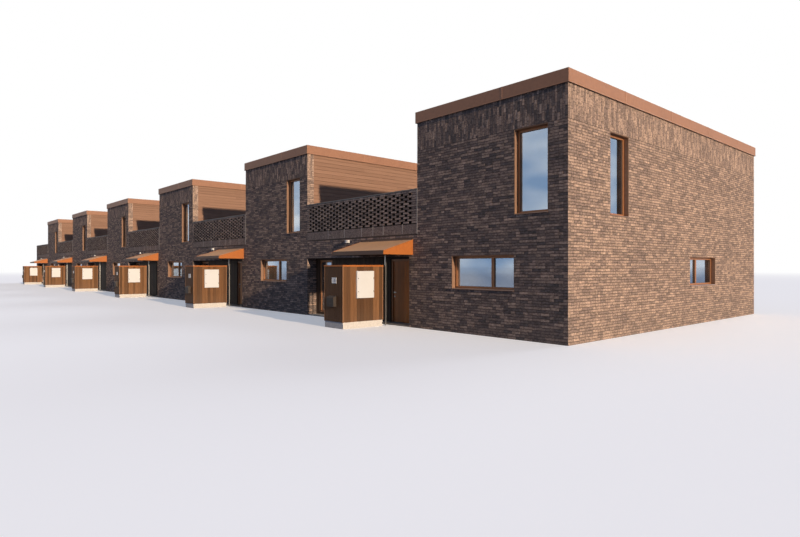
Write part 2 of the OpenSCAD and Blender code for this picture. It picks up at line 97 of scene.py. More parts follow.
# Corners of each separate solid of a node: triangles that share a corner get the same number
def solidBoxes(node):
    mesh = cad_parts[node].data
    points = np.empty(len(mesh.vertices) * 3)
    mesh.vertices.foreach_get("co", points)
    corners = np.empty(len(mesh.loops), int)
    mesh.loops.foreach_get("vertex_index", corners)
    keys, same = np.unique(np.round(points.reshape(-1, 3), 5), axis=0, return_inverse=True)
    triangles = same.reshape(-1)[corners].reshape(-1, 3)
    number = np.arange(len(keys))
    while True:
        lowest = number.copy()
        np.minimum.at(lowest, triangles.ravel(), np.repeat(number[triangles].min(axis=1), 3))
        lowest = lowest[lowest]
        if (lowest == number).all():
            break
        number = lowest
    groups = [keys[number == n] for n in np.unique(number)]
    return [(g.min(axis=0), g.max(axis=0)) for g in groups]


# A plane to build on: right and up span it, and out points away from the wall
def plane(origin, right, up, width=0.0, height=0.0):
    right = np.array(right, float)
    up = np.array(up, float)
    return {"origin": np.array(origin, float), "right": right, "up": up, "out": np.cross(right, up),
            "width": width, "height": height}


# Vertical plane that looks along out, with its lower left corner at a place
def wallPlane(corner, out, width, height):
    return plane(corner, np.cross(upward, out), upward, width, height)


# Level plane at a height, with right along the row and up towards the garden
def levelPlane(x, y, z, width=0.0, height=0.0):
    return plane((x, y, z), eastward, northward, width, height)


# Outer side of a box, seen from where out points
def sidePlane(low, high, out):
    out = np.array(out, float)
    right = np.cross(upward, out)
    middle = (low + high) / 2
    half = (high - low) / 2
    width = 2 * abs(right @ half)
    corner = middle + out * abs(out @ half) - right * width / 2 - upward * half[2]
    return wallPlane(corner, out, width, 2 * half[2])


# Outer sides of a node's solids, seen from where out points: each with its width, height and depth
def facing(node, out):
    sides = []
    for low, high in solidBoxes(node):
        base = sidePlane(low, high, out)
        sides.append((base, base["width"], base["height"], abs(out @ (high - low))))
    return sides


# The same plane turned a quarter, so that strips laid along it stand upright
def turned(base):
    return plane(base["origin"] + base["right"] * base["width"], base["up"], -base["right"],
                 base["height"], base["width"])


# Part of a plane between two distances along right and two along up
def subPlane(base, a0, a1, b0, b1):
    corner = base["origin"] + a0 * base["right"] + b0 * base["up"]
    return plane(corner, base["right"], base["up"], a1 - a0, b1 - b0)


# World points: origin + a * right + b * up + n * out
def onPlane(base, a, b, n):
    return (base["origin"] + a[..., None] * base["right"] + b[..., None] * base["up"]
            + n[..., None] * base["out"])


# Values as arrays of floats with one common length
def alike(*values):
    return np.broadcast_arrays(*[np.atleast_1d(v).astype(float) for v in values])


boxPick = np.array([[0, 0, 0], [1, 0, 0], [1, 1, 0], [0, 1, 0], [0, 0, 1], [1, 0, 1], [1, 1, 1], [0, 1, 1]])
boxFaces = np.array([[0, 3, 2, 1], [4, 5, 6, 7], [0, 1, 5, 4], [1, 2, 6, 5], [2, 3, 7, 6], [3, 0, 4, 7]])


# Blocks on a plane: a rectangle a0 to a1, b0 to b1, carried along out from n0 to n1
def blocks(base, a0, a1, b0, b1, n0, n1, tone=None):
    a0, a1, b0, b1, n0, n1 = alike(a0, a1, b0, b1, n0, n1)
    a = np.where(boxPick[:, 0], a1[:, None], a0[:, None])
    b = np.where(boxPick[:, 1], b1[:, None], b0[:, None])
    n = np.where(boxPick[:, 2], n1[:, None], n0[:, None])
    faces = boxFaces + 8 * np.arange(len(a0))[:, None, None]
    tone = np.full(len(a0), 0.5) if tone is None else tone
    return onPlane(base, a, b, n).reshape(-1, 3), [faces.reshape(-1, 4)], [np.repeat(tone, 6)]


# Strips on a plane: a closed profile of (b, n) points, counterclockwise, carried along a from a0 to a1
def strips(base, a0, a1, foot, profile, tone=None):
    a0, a1, foot = alike(a0, a1, foot)
    profile = np.array(profile, float)
    count, corners = len(a0), len(profile)
    a = np.repeat(np.stack([a0, a1], axis=1)[:, :, None], corners, axis=2)
    b = foot[:, None, None] + np.broadcast_to(profile[:, 0], a.shape)
    n = np.broadcast_to(profile[:, 1], a.shape)
    k = np.arange(corners)
    after = (k + 1) % corners
    sides = np.stack([k, after, corners + after, corners + k], axis=1)
    caps = np.stack([k[::-1], corners + k])
    shift = 2 * corners * np.arange(count)[:, None, None]
    faces = [(sides + shift).reshape(-1, 4), (caps + shift).reshape(-1, corners)]
    tone = np.full(count, 0.5) if tone is None else tone
    return onPlane(base, a, b, n).reshape(-1, 3), faces, [np.repeat(tone, corners), np.repeat(tone, 2)]


# A ring round a rectangle: a closed profile of (grow, lift) points, counterclockwise, with mitred corners
def ring(base, profile, inset=0.0, tone=0.5):
    profile = np.array(profile, float)
    signs = np.array([[-1, -1], [1, -1], [1, 1], [-1, 1]])
    feet = np.array([[0, 0], [base["width"], 0], [base["width"], base["height"]], [0, base["height"]]])
    grow = profile[:, 0] - inset
    a = feet[:, :1] + signs[:, :1] * grow
    b = feet[:, 1:] + signs[:, 1:] * grow
    n = np.broadcast_to(profile[:, 1], a.shape)
    corners = len(profile)
    c, k = np.meshgrid(np.arange(4), np.arange(corners), indexing="ij")
    cornerAfter, pointAfter = (c + 1) % 4, (k + 1) % corners
    faces = np.stack([c * corners + k, cornerAfter * corners + k, cornerAfter * corners + pointAfter,
                      c * corners + pointAfter], axis=-1).reshape(-1, 4)
    return onPlane(base, a, b, n).reshape(-1, 3), [faces], [np.full(len(faces), tone)]


# Profile of a bar from a to b, between a back and a front level, with both front edges bevelled
def bevelled(a, b, back, front, bevel, deep=None):
    shoulder = front - (bevel if deep is None else deep)
    return [(a, back), (b, back), (b, shoulder), (b - bevel, front), (a + bevel, front), (a, shoulder)]


# A turned piece: a profile of (radius, lift) points from foot to top, spun about the plane's out axis
def spun(base, centre, profile, segments=20, tone=0.5):
    profile = np.array(profile, float)
    angle = 2 * math.pi * np.arange(segments) / segments
    a = centre[0] + profile[:, :1] * np.cos(angle)
    b = centre[1] + profile[:, :1] * np.sin(angle)
    n = np.broadcast_to(profile[:, 1:], a.shape)
    k, s = np.meshgrid(np.arange(len(profile) - 1), np.arange(segments), indexing="ij")
    after = (s + 1) % segments
    low, high = k * segments, (k + 1) * segments
    sides = np.stack([low + s, low + after, high + after, high + s], axis=-1).reshape(-1, 4)
    caps = np.stack([np.arange(segments)[::-1], (len(profile) - 1) * segments + np.arange(segments)])
    return onPlane(base, a, b, n).reshape(-1, 3), [sides, caps], [np.full(len(sides), tone), np.full(2, tone)]


softAngle = 32.0         # edges flatter than this look round on the turned pieces


# Puts parts into one mesh, which rides on a body and takes the finish it is given
def makePiece(name, parts, material, body="row", rounded=False):
    points, polygons, shift = [], [], 0
    for partPoints, partFaces, partTones in parts:
        points.append(partPoints)
        polygons += [(faces + shift, tone) for faces, tone in zip(partFaces, partTones)]
        shift += len(partPoints)
    points = np.concatenate(points)
    corners = np.concatenate([faces.ravel() for faces, tone in polygons])
    totals = np.concatenate([np.full(len(faces), faces.shape[1]) for faces, tone in polygons])
    mesh = bpy.data.meshes.new(name)
    mesh.vertices.add(len(points))
    mesh.vertices.foreach_set("co", points.astype(np.float32).ravel())
    mesh.loops.add(len(corners))
    mesh.loops.foreach_set("vertex_index", corners.astype(np.int32))
    mesh.polygons.add(len(totals))
    mesh.polygons.foreach_set("loop_start", (np.cumsum(totals) - totals).astype(np.int32))
    shade = mesh.attributes.new("tone", "FLOAT", "FACE")
    shade.data.foreach_set("value", np.concatenate([tone for faces, tone in polygons]).astype(np.float32))
    mesh.update(calc_edges=True)
    if rounded:
        mesh.set_sharp_from_angle(angle=math.radians(softAngle))
    else:
        mesh.shade_flat()
    piece = bpy.data.objects.new(name, mesh)
    scene.collection.objects.link(piece)
    mesh.materials.append(material)
    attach(piece, body)
    return piece


# A socket takes a link or a value, and a colour gets its alpha
def feedSocket(tree, socket, value):
    if isinstance(value, bpy.types.NodeSocket):
        tree.links.new(value, socket)
    elif socket.type == "RGBA":
        socket.default_value = (*value, 1)
    else:
        socket.default_value = value


# Feeds a node's sockets in their order, and others by name
def feed(tree, node, *values, **named):
    for socket, value in zip(node.inputs, values):
        feedSocket(tree, socket, value)
    for label, value in named.items():
        feedSocket(tree, node.inputs[label], value)


# Adds a node and feeds its sockets
def addNode(tree, kind, *values, **named):
    node = tree.nodes.new(kind)
    feed(tree, node, *values, **named)
    return node


# Short ways to add a node: each gives the socket that it puts out
def mathNode(tree, operation, *values, clamp=False):
    node = addNode(tree, "ShaderNodeMath", *values)
    node.operation = operation
    node.use_clamp = clamp
    return node.outputs[0]


def mixNode(tree, factor, first, second):
    node = tree.nodes.new("ShaderNodeMix")
    node.data_type = "RGBA"
    colours = [s for s in node.inputs if s.type == "RGBA"]
    for socket, value in zip((node.inputs[0], *colours), (factor, first, second)):
        feedSocket(tree, socket, value)
    return [s for s in node.outputs if s.type == "RGBA"][0]


def noiseNode(tree, vector, scale, detail=4.0, roughness=0.6, distortion=0.0):
    return addNode(tree, "ShaderNodeTexNoise", Vector=vector, Scale=scale, Detail=detail,
                   Roughness=roughness, Distortion=distortion).outputs["Fac"]


def mappingNode(tree, vector, stretch, shift=(0, 0, 0)):
    return addNode(tree, "ShaderNodeMapping", Vector=vector, Scale=stretch, Location=shift).outputs[0]


# Node groups that several finishes share: each gives the group, what it is given and the node it ends in
def newGroup(name, given, out):
    group = bpy.data.node_groups.new(name, "ShaderNodeTree")
    for way, sockets in (("INPUT", given), ("OUTPUT", out)):
        for label, kind in sockets.items():
            group.interface.new_socket(label, in_out=way, socket_type=f"NodeSocket{kind}")
    return group, group.nodes.new("NodeGroupInput").outputs, group.nodes.new("NodeGroupOutput")


# Colour of one brick or board: dark, middle or pale by its tone, then mottled by a noise,
# as colour * (1 + 2 * mottle * (grain - 0.5))
def makeToneGroup():
    given = {"Vector": "Vector", "Tone": "Float", "Dark": "Color", "Middle": "Color", "Pale": "Color",
             "Scale": "Float", "Mottle": "Float"}
    group, start, end = newGroup("toneVariation", given, {"Color": "Color", "Grain": "Float"})
    lower = mathNode(group, "MULTIPLY", start["Tone"], 2.0, clamp=True)
    upper = mathNode(group, "MULTIPLY_ADD", start["Tone"], 2.0, -1.0, clamp=True)
    colour = mixNode(group, lower, start["Dark"], start["Middle"])
    colour = mixNode(group, upper, colour, start["Pale"])
    grain = noiseNode(group, start["Vector"], start["Scale"], detail=5.0)
    swing = mathNode(group, "SUBTRACT", grain, 0.5)
    swing = mathNode(group, "MULTIPLY", swing, start["Mottle"])
    swing = mathNode(group, "MULTIPLY_ADD", swing, 2.0, 1.0)
    scaled = group.nodes.new("ShaderNodeVectorMath")
    scaled.operation = "SCALE"
    feed(group, scaled, colour, Scale=swing)
    feed(group, end, Color=scaled.outputs[0], Grain=grain)
    return group


woodGrain = {"coarse": 0.65, "fine": 0.35, "finer": 5.0, "wave": 0.6, "veinFrom": 0.42, "veinSharp": 4.0}


# Grain that runs along the longest axis of the stretched coordinates: drawn-out noise with finer lines in
# it, coarse * its share + fine * its share, and veins where the sum is high
def makeGrainGroup():
    given = {"Vector": "Vector", "Color": "Color", "Vein": "Color", "Scale": "Float", "Strength": "Float"}
    group, start, end = newGroup("woodGrain", given, {"Color": "Color", "Height": "Float"})
    coarse = noiseNode(group, start["Vector"], start["Scale"], detail=3.0, roughness=0.5,
                       distortion=woodGrain["wave"])
    finer = mathNode(group, "MULTIPLY", start["Scale"], woodGrain["finer"])
    fine = noiseNode(group, start["Vector"], finer, detail=2.0)
    share = mathNode(group, "MULTIPLY", coarse, woodGrain["coarse"])
    both = mathNode(group, "MULTIPLY_ADD", fine, woodGrain["fine"], share)
    sharp = mathNode(group, "SUBTRACT", both, woodGrain["veinFrom"])
    sharp = mathNode(group, "MULTIPLY", sharp, woodGrain["veinSharp"], clamp=True)
    veined = mathNode(group, "MULTIPLY", sharp, start["Strength"])
    feed(group, end, Color=mixNode(group, veined, start["Color"], start["Vein"]), Height=both)
    return group


weather = {"patches": 5.0, "runs": (14.0, 14.0, 0.8), "runsFrom": 0.5}


# Weather marks: a film of dust that thickens towards the ground, broken by a noise, with faint runs down
# the face, as amount * ((1 - height / reach) * patches + runs)
def makeWeatherGroup():
    given = {"Vector": "Vector", "Color": "Color", "Dust": "Color", "Reach": "Float", "Amount": "Float"}
    group, start, end = newGroup("weatherMarks", given, {"Color": "Color"})
    split = addNode(group, "ShaderNodeSeparateXYZ", start["Vector"])
    low = mathNode(group, "DIVIDE", split.outputs["Z"], start["Reach"])
    low = mathNode(group, "SUBTRACT", 1.0, low, clamp=True)
    patches = noiseNode(group, start["Vector"], weather["patches"], detail=5.0, roughness=0.65)
    runs = noiseNode(group, mappingNode(group, start["Vector"], weather["runs"]), 1.0, detail=3.0)
    runs = mathNode(group, "SUBTRACT", runs, weather["runsFrom"], clamp=True)
    mask = mathNode(group, "MULTIPLY", low, patches)
    mask = mathNode(group, "ADD", mask, runs)
    mask = mathNode(group, "MULTIPLY", mask, start["Amount"], clamp=True)
    feed(group, end, Color=mixNode(group, mask, start["Color"], start["Dust"]))
    return group


reliefFiner = 6.0        # scale of the fine noise over the coarse one


# Fine relief for sand, cast concrete and burnt clay: a coarse noise + fine * a finer one
def makeReliefGroup():
    given = {"Vector": "Vector", "Scale": "Float", "Fine": "Float"}
    group, start, end = newGroup("fineRelief", given, {"Height": "Float"})
    coarse = noiseNode(group, start["Vector"], start["Scale"])
    finer = mathNode(group, "MULTIPLY", start["Scale"], reliefFiner)
    fine = noiseNode(group, start["Vector"], finer, detail=2.0)
    fine = mathNode(group, "MULTIPLY", fine, start["Fine"])
    feed(group, end, Height=mathNode(group, "ADD", coarse, fine))
    return group


toneGroup = makeToneGroup()
grainGroup = makeGrainGroup()
weatherGroup = makeWeatherGroup()
reliefGroup = makeReliefGroup()


# A material with its plain values on the shader's own sockets
def newMaterial(name, roughness, metallic=0.0, gloss=0.5):
    material = bpy.data.materials.new(name)
    material.use_nodes = True
    shader = material.node_tree.nodes["Principled BSDF"]
    shader.inputs["Roughness"].default_value = roughness
    shader.inputs["Metallic"].default_value = metallic
    shader.inputs["Specular IOR Level"].default_value = gloss
    return material, material.node_tree, shader


def objectVector(tree):
    return tree.nodes.new("ShaderNodeTexCoord").outputs["Object"]


# Places a group in a material, with its own values and links
def place(tree, group, **values):
    node = tree.nodes.new("ShaderNodeGroup")
    node.node_tree = group
    feed(tree, node, **values)
    return node.outputs


def toneOf(tree):
    node = tree.nodes.new("ShaderNodeAttribute")
    node.attribute_name = "tone"
    return node.outputs["Fac"]


def addBump(tree, shader, height, strength, distance):
    bump = addNode(tree, "ShaderNodeBump", Strength=strength, Distance=distance, Height=height)
    feed(tree, shader, Normal=bump.outputs[0])


# What every finish but glass ends with: weather marks over its colour, relief, and a roughness that
# wanders with the grain between two values
def weathered(tree, shader, look, vector, colour, grain, height):
    marks = place(tree, weatherGroup, Vector=vector, Color=colour, Dust=look["dust"], Reach=look["dustReach"],
                  Amount=look["dustAmount"])
    tree.links.new(marks["Color"], shader.inputs["Base Color"])
    spread = addNode(tree, "ShaderNodeMapRange", grain)
    spread.inputs["To Min"].default_value, spread.inputs["To Max"].default_value = look["matt"]
    feed(tree, shader, Roughness=spread.outputs[0])
    addBump(tree, shader, height, look["bump"], look["bumpDeep"])


# Clay bricks: each has its own tone and its own mottled, water-struck face, with faint clouds over the wall
brickLook = {"clouds": 1.3, "cloudSwing": 0.24, "apart": (7.3, 3.1, 5.7), "stretch": (0.55, 0.55, 1.0),
             "grain": 46.0, "mottle": 1.35, "sand": 110.0, "sandFine": 0.35, "dust": (0.30, 0.25, 0.21),
             "dustReach": 0.5, "dustAmount": 0.2, "matt": (0.75, 0.98), "bump": 0.7, "bumpDeep": 0.0022}


def brickFinish(name, dark, middle, pale):
    look = brickLook
    material, tree, shader = newMaterial(name, roughness=0.85, gloss=0.15)
    vector = objectVector(tree)
    clouds = noiseNode(tree, vector, look["clouds"], detail=3.0, roughness=0.5)
    under = mathNode(tree, "SUBTRACT", toneOf(tree), look["cloudSwing"] / 2)
    tone = mathNode(tree, "MULTIPLY_ADD", clouds, look["cloudSwing"], under)
    # the noise starts elsewhere for each tone, so no streak runs on from one brick to the next
    own = tree.nodes.new("ShaderNodeVectorMath")
    own.operation = "MULTIPLY_ADD"
    feed(tree, own, toneOf(tree), look["apart"], mappingNode(tree, vector, look["stretch"]))
    face = own.outputs[0]
    clay = place(tree, toneGroup, Vector=face, Tone=tone, Dark=dark, Middle=middle, Pale=pale,
                 Scale=look["grain"], Mottle=look["mottle"])
    relief = place(tree, reliefGroup, Vector=face, Scale=look["sand"], Fine=look["sandFine"])
    weathered(tree, shader, look, vector, clay["Color"], clay["Grain"], relief["Height"])
    return material


# Mortar, render and cast concrete: one colour with patches and sand
mineralLook = {"mottle": 0.3, "sandFine": 0.6, "dust": (0.20, 0.17, 0.14), "dustReach": 0.25,
               "matt": (0.75, 0.98), "bumpDeep": 0.002}


def mineralFinish(name, colour, second, patches, sand, bump=0.4, dust=0.3):
    look = {**mineralLook, "bump": bump, "dustAmount": dust}
    material, tree, shader = newMaterial(name, roughness=0.9, gloss=0.2)
    vector = objectVector(tree)
    body = place(tree, toneGroup, Vector=vector, Tone=noiseNode(tree, vector, patches), Dark=second,
                 Middle=colour, Pale=colour, Scale=sand, Mottle=look["mottle"])
    relief = place(tree, reliefGroup, Vector=vector, Scale=sand, Fine=look["sandFine"])
    weathered(tree, shader, look, vector, body["Color"], body["Grain"], relief["Height"])
    return material


# Timber: grain drawn out along the board, and a tone for each board
timberLook = {"tones": 4.0, "mottle": 0.35, "grain": 9.0, "dust": (0.24, 0.19, 0.15), "dustReach": 0.35,
              "smoother": 0.12, "rougher": 0.15, "bump": 0.35, "bumpDeep": 0.0015}
uprightGrain = (22.0, 22.0, 0.6)


def timberFinish(name, stretch, dark, middle, pale, vein, roughness=0.6, veins=0.6, dust=0.25, gloss=0.15):
    look = {**timberLook, "dustAmount": dust}
    look["matt"] = (roughness - look["smoother"], min(roughness + look["rougher"], 1.0))
    material, tree, shader = newMaterial(name, roughness, gloss=gloss)
    vector = objectVector(tree)
    along = mappingNode(tree, vector, stretch)
    board = place(tree, toneGroup, Vector=along, Tone=toneOf(tree), Dark=dark, Middle=middle, Pale=pale,
                  Scale=look["tones"], Mottle=look["mottle"])
    grain = place(tree, grainGroup, Vector=along, Color=board["Color"], Vein=vein, Scale=look["grain"],
                  Strength=veins)
    weathered(tree, shader, look, vector, grain["Color"], grain["Height"], grain["Height"])
    return material


# Coated or patinated sheet metal: a soft second colour in clouds and runs, and a gloss that wanders
sheetLook = {"clouds": 2.2, "spangle": 22.0, "dustReach": 0.3, "dents": 5.0, "dentsFine": 0.04,
             "smoother": 0.1, "rougher": 0.15, "bump": 0.15, "bumpDeep": 0.004}


def sheetFinish(name, colour, second, roughness=0.5, metallic=0.0, runs=0.25, spangle=0.25, gloss=0.5):
    look = {**sheetLook, "dust": second, "dustAmount": runs}
    look["matt"] = (roughness - look["smoother"], roughness + look["rougher"])
    material, tree, shader = newMaterial(name, roughness, metallic, gloss)
    vector = objectVector(tree)
    clouds = noiseNode(tree, vector, look["clouds"], detail=5.0)
    sheet = place(tree, toneGroup, Vector=vector, Tone=clouds, Dark=second, Middle=colour, Pale=colour,
                  Scale=look["spangle"], Mottle=spangle)
    relief = place(tree, reliefGroup, Vector=vector, Scale=look["dents"], Fine=look["dentsFine"])
    weathered(tree, shader, look, vector, sheet["Color"], sheet["Grain"], relief["Height"])
    return material


# Double glazing: half a mirror, half clear, its tint a painted reflection of blue sky with painted drifts
# of pale cloud, and a little uneven
glassLook = {"roughness": 0.04, "metallic": 0.6, "ior": 1.5, "stretch": (0.7, 0.7, 1.6),
             "shift": (1.7, 0.0, 0.9), "paintedCloudDrift": 1.1, "driftFrom": 0.36, "driftSharp": 3.2, "waves": 1.6,
             "bump": 0.05, "bumpDeep": 0.01}


def glassFinish(name, sky, paintedCloudReflection):
    look = glassLook
    material, tree, shader = newMaterial(name, look["roughness"], look["metallic"])
    vector = objectVector(tree)
    moved = mappingNode(tree, vector, look["stretch"], look["shift"])
    paintedCloudDrift = noiseNode(tree, moved, look["paintedCloudDrift"], detail=2.0, roughness=0.5)
    paintedCloudDrift = mathNode(tree, "SUBTRACT", paintedCloudDrift, look["driftFrom"])
    paintedCloudDrift = mathNode(tree, "MULTIPLY", paintedCloudDrift, look["driftSharp"], clamp=True)
    # base colour: a painted reflection of blue sky, with painted pale cloud drifts over it
    tree.links.new(mixNode(tree, paintedCloudDrift, sky, paintedCloudReflection), shader.inputs["Base Color"])
    shader.inputs["Transmission Weight"].default_value = 1.0
    shader.inputs["IOR"].default_value = look["ior"]
    waves = noiseNode(tree, vector, look["waves"], detail=1.0, roughness=0.4)
    addBump(tree, shader, waves, look["bump"], look["bumpDeep"])
    return material


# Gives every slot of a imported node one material
def dress(node, material):
    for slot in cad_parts[node].material_slots:
        slot.material = material


brickSkin = brickFinish("greyBrownBrick", (0.108, 0.094, 0.093), (0.240, 0.180, 0.155), (0.49, 0.357, 0.281))
screenSkin = brickFinish("screenBrick", (0.16, 0.130, 0.119), (0.29, 0.225, 0.194), (0.42, 0.331, 0.282))
flagStone = brickFinish("flagStone", (0.24, 0.225, 0.21), (0.30, 0.285, 0.265), (0.36, 0.34, 0.32))

mortar = mineralFinish("darkMortar", (0.062, 0.049, 0.043), (0.046, 0.037, 0.033), 4.0, 60.0, bump=0.5)
# near-black core seen in the screen's openings: painted shade in the holes
paintedShadeScreenCore = mineralFinish("paintedShadeScreenCore", (0.026, 0.021, 0.019), (0.019, 0.016, 0.015), 4.0, 60.0, bump=0.5)
paleMortar = mineralFinish("paleMortar", (0.62, 0.58, 0.54), (0.52, 0.48, 0.45), 4.0, 60.0)
castConcrete = mineralFinish("castConcrete", (0.36, 0.34, 0.31), (0.25, 0.235, 0.22), 3.0, 25.0)
plinthConcrete = mineralFinish("paleConcrete", (0.66, 0.65, 0.64), (0.59, 0.58, 0.57), 5.0, 35.0, 0.35, 0.2)
feltSkin = mineralFinish("roofFelt", (0.10, 0.10, 0.102), (0.075, 0.075, 0.078), 3.0, 120.0, 0.5, 0.2)
palePaint = mineralFinish("palePaint", (0.62, 0.59, 0.54), (0.56, 0.53, 0.48), 2.0, 20.0, 0.1, 0.0)

edgeMetal = sheetFinish("edgeMetal", (0.315, 0.162, 0.100), (0.25, 0.130, 0.084), gloss=0.3)
seamMetal = sheetFinish("seamMetal", (0.36, 0.19, 0.120), (0.30, 0.160, 0.104), roughness=0.45, gloss=0.3)
cappingMetal = sheetFinish("cappingMetal", (0.155, 0.145, 0.140), (0.12, 0.112, 0.108), metallic=0.1,
                           gloss=0.3)
# canopy top: the sheet's own tan, paler as a painted sky sheen
paintedSheenTopMetal = sheetFinish("paintedSheenTopMetal", (0.61, 0.345, 0.178), (0.50, 0.28, 0.145), metallic=0.1)
rustMetal = sheetFinish("rustMetal", (0.395, 0.118, 0.017), (0.30, 0.083, 0.013), roughness=0.6,
                        metallic=0.05)
# canopy front edge and flashing: the same corten as the end plates, darkened as painted shade
paintedShadeMetal = sheetFinish("paintedShadeMetal", (0.085, 0.050, 0.036), (0.062, 0.037, 0.028), gloss=0.3)
bronzeMetal = sheetFinish("bronzeMetal", (0.27, 0.162, 0.106), (0.205, 0.123, 0.081), roughness=0.6,
                          gloss=0.15)
frameMetal = sheetFinish("frameMetal", (0.36, 0.15, 0.058), (0.28, 0.115, 0.046), roughness=0.4, metallic=0.1)
sillMetal = sheetFinish("sillMetal", (0.24, 0.15, 0.11), (0.18, 0.11, 0.085), roughness=0.4, metallic=0.3)
letterMetal = sheetFinish("letterMetal", (0.058, 0.046, 0.040), (0.040, 0.032, 0.028), gloss=0.2)
brushedSteel = sheetFinish("brushedSteel", (0.55, 0.55, 0.54), (0.45, 0.45, 0.45), roughness=0.32,
                           metallic=0.9, runs=0.05, spangle=0.1)
cabinetPaint = sheetFinish("cabinetPaint", (0.655, 0.68, 0.71), (0.60, 0.615, 0.63), runs=0.1, spangle=0.03)
lampPlastic = sheetFinish("lampPlastic", (0.52, 0.52, 0.51), (0.46, 0.46, 0.45), roughness=0.4, runs=0.1,
                          spangle=0.03)
platePaint = sheetFinish("platePaint", (0.82, 0.82, 0.81), (0.76, 0.76, 0.74), roughness=0.4, runs=0.1,
                         spangle=0.05)
gasketRubber = sheetFinish("gasketRubber", (0.035, 0.03, 0.028), (0.025, 0.022, 0.02), roughness=0.6,
                           runs=0.05, spangle=0.1)

# Timbers: dark, middle and pale boards, and the veins in them
terraceTimber = timberFinish("terraceTimber", (6.0, 0.5, 22.0), (0.25, 0.149, 0.103), (0.275, 0.165, 0.114),
                             (0.30, 0.181, 0.126), (0.19, 0.10, 0.065), roughness=0.7, veins=0.25)
shedTimber = timberFinish("shedTimber", uprightGrain, (0.090, 0.046, 0.023), (0.20, 0.098, 0.044),
                          (0.28, 0.142, 0.066), (0.075, 0.036, 0.02))
trimTimber = timberFinish("trimTimber", uprightGrain, (0.24, 0.125, 0.065), (0.29, 0.152, 0.080),
                          (0.34, 0.182, 0.097), (0.16, 0.08, 0.04), veins=0.4)
darkTimber = timberFinish("darkTimber", uprightGrain, (0.034, 0.022, 0.016), (0.052, 0.032, 0.022),
                          (0.075, 0.046, 0.030), (0.018, 0.013, 0.011))
# bright orange: partly the doors' own colour, partly painted bounce light that lifts them in the dark recess
doorTimber = timberFinish("doorTimber", (22.0, 22.0, 0.7), (0.55, 0.190, 0.044), (0.66, 0.240, 0.060),
                          (0.74, 0.290, 0.080), (0.32, 0.108, 0.030), roughness=0.45, veins=0.3, dust=0.1,
                          gloss=0.4)
# its two colours are a painted sky reflection and painted pale clouds in it
windowGlass = glassFinish("windowGlass", (0.25, 0.39, 0.60), (0.74, 0.80, 0.86))

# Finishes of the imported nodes
dressed = [(mortar, ("front_walls", "rear_walls", "gable_wall", "side_walls", "far_party_wall", "link_piers",
                     "link_lintels", "link_rear_walls")),
           (castConcrete, ("ground_slabs", "upper_floors", "terrace_slabs")),
           (frameMetal, ("side_light_frames", "door_frames", "window_frames")),
           (windowGlass, ("side_light_glass", "window_glass")),
           (brushedSteel, ("door_hinges", "canopy_posts", *[f"handle_{i + 1}" for i in range(houses)])),
           (doorTimber, [f"door_{i + 1}" for i in range(houses)]),
           (paintedShadeScreenCore, ("brick_screens",)), (feltSkin, ("flat_roofs",)), (edgeMetal, ("roof_edges",)),
           (terraceTimber, ("terrace_boards",)), (darkTimber, ("entrance_panels",)),
           (paintedSheenTopMetal, ("canopies",)), (shedTimber, ("sheds",)), (plinthConcrete, ("shed_plinths",)),
           (rustMetal, ("shed_caps",)), (cabinetPaint, ("meter_cabinets",)), (letterMetal, ("letterboxes",)),
           (platePaint, ("number_plates",)), (lampPlastic, ("wall_lamps",)),
           (bronzeMetal, ("window_linings",)), (sillMetal, ("window_sills",))]
for material, nodes in dressed:
    for node in nodes:
        dress(node, material)
print("materials made")


# Which way a window or a pane looks, from its longer side and its place in the row
def looksOut(low, high):
    if high[0] - low[0] < high[1] - low[1]:
        return eastward if high[0] > nearX - wall else -eastward
    return -northward if low[1] + high[1] < 0 else northward


windowPlanes = [sidePlane(low, high, looksOut(low, high)) for low, high in solidBoxes("window_linings")]


# Openings of a wall plane as (left, right, foot, top), from the windows that lie in it
def openingsIn(base):
    found = []
    for w in windowPlanes:
        away = w["origin"] - base["origin"]
        left = away @ base["right"]
        faces = abs(away @ base["out"]) < near and w["out"] @ base["out"] > 1 - near
        if faces and -near < left < base["width"]:
            found.append((left, left + w["width"], away[2], away[2] + w["height"]))
    return found


overlap = 0.004          # a brick or board may reach this far past the foot or head of an opening


# Cuts openings out of rectangles: what lies inside goes, and a stump stays on each side
def cutOpenings(cells, openings, shortest):
    for left, right, foot, top in openings:
        a0, a1, b0, b1 = cells
        hit = (b1 > foot + overlap) & (b0 < top - overlap) & (a1 > left) & (a0 < right)
        before = cells[:, hit & (a0 < left)].copy()
        before[1] = left
        after = cells[:, hit & (a1 > right)].copy()
        after[0] = right
        cells = np.concatenate([cells[:, ~hit], before, after], axis=1)
    return cells[:, cells[1] - cells[0] > shortest]


# Bricks, laid as a wild bond of stretchers with a header here and there
# the gable's and the corners' tones are paler than the street side's: painted sunlight
bricks = {"course": 0.0375, "long": 0.125, "short": 0.0605, "joint": 0.0070, "butt": 0.0045, "headers": 0.16,
          "stray": 0.003, "bury": 0.004, "proud": 0.0013, "uneven": 0.0007, "lean": 0.0024, "wobble": 0.0012,
          "shortest": 0.014, "cornerLap": 0.0010, "shortestUpright": 0.016, "quarters": 4, "uprightRow": 74,
          "behindEdge": 0.012, "toneShape": (1.25, 1.4), "tones": (0.0, 0.94), "paintedSunGableTones": (0.40, 0.94),
          "paintedSunCornerTones": (0.46, 1.0)}
seeds = {"gable": 7, "partyWall": (21, 22, 23, 24), "street": 100, "garden": 200, "corner": 300,
         "linkStreet": 400, "cheek": 420, "farCheek": 440, "linkGarden": 460, "parapet": 480, "screen": 500,
         "flags": 600, "terraceBoards": 700, "entrance": 800, "soffit": 810, "shed": 820}

uprightFoot = bricks["uprightRow"] * bricks["course"]    # level of the upper window heads
brickHigh = edgeFoot + bricks["behindEdge"]              # bricks run up behind the roof edge
bandFoot = 1.48                                          # smooth band under the screen


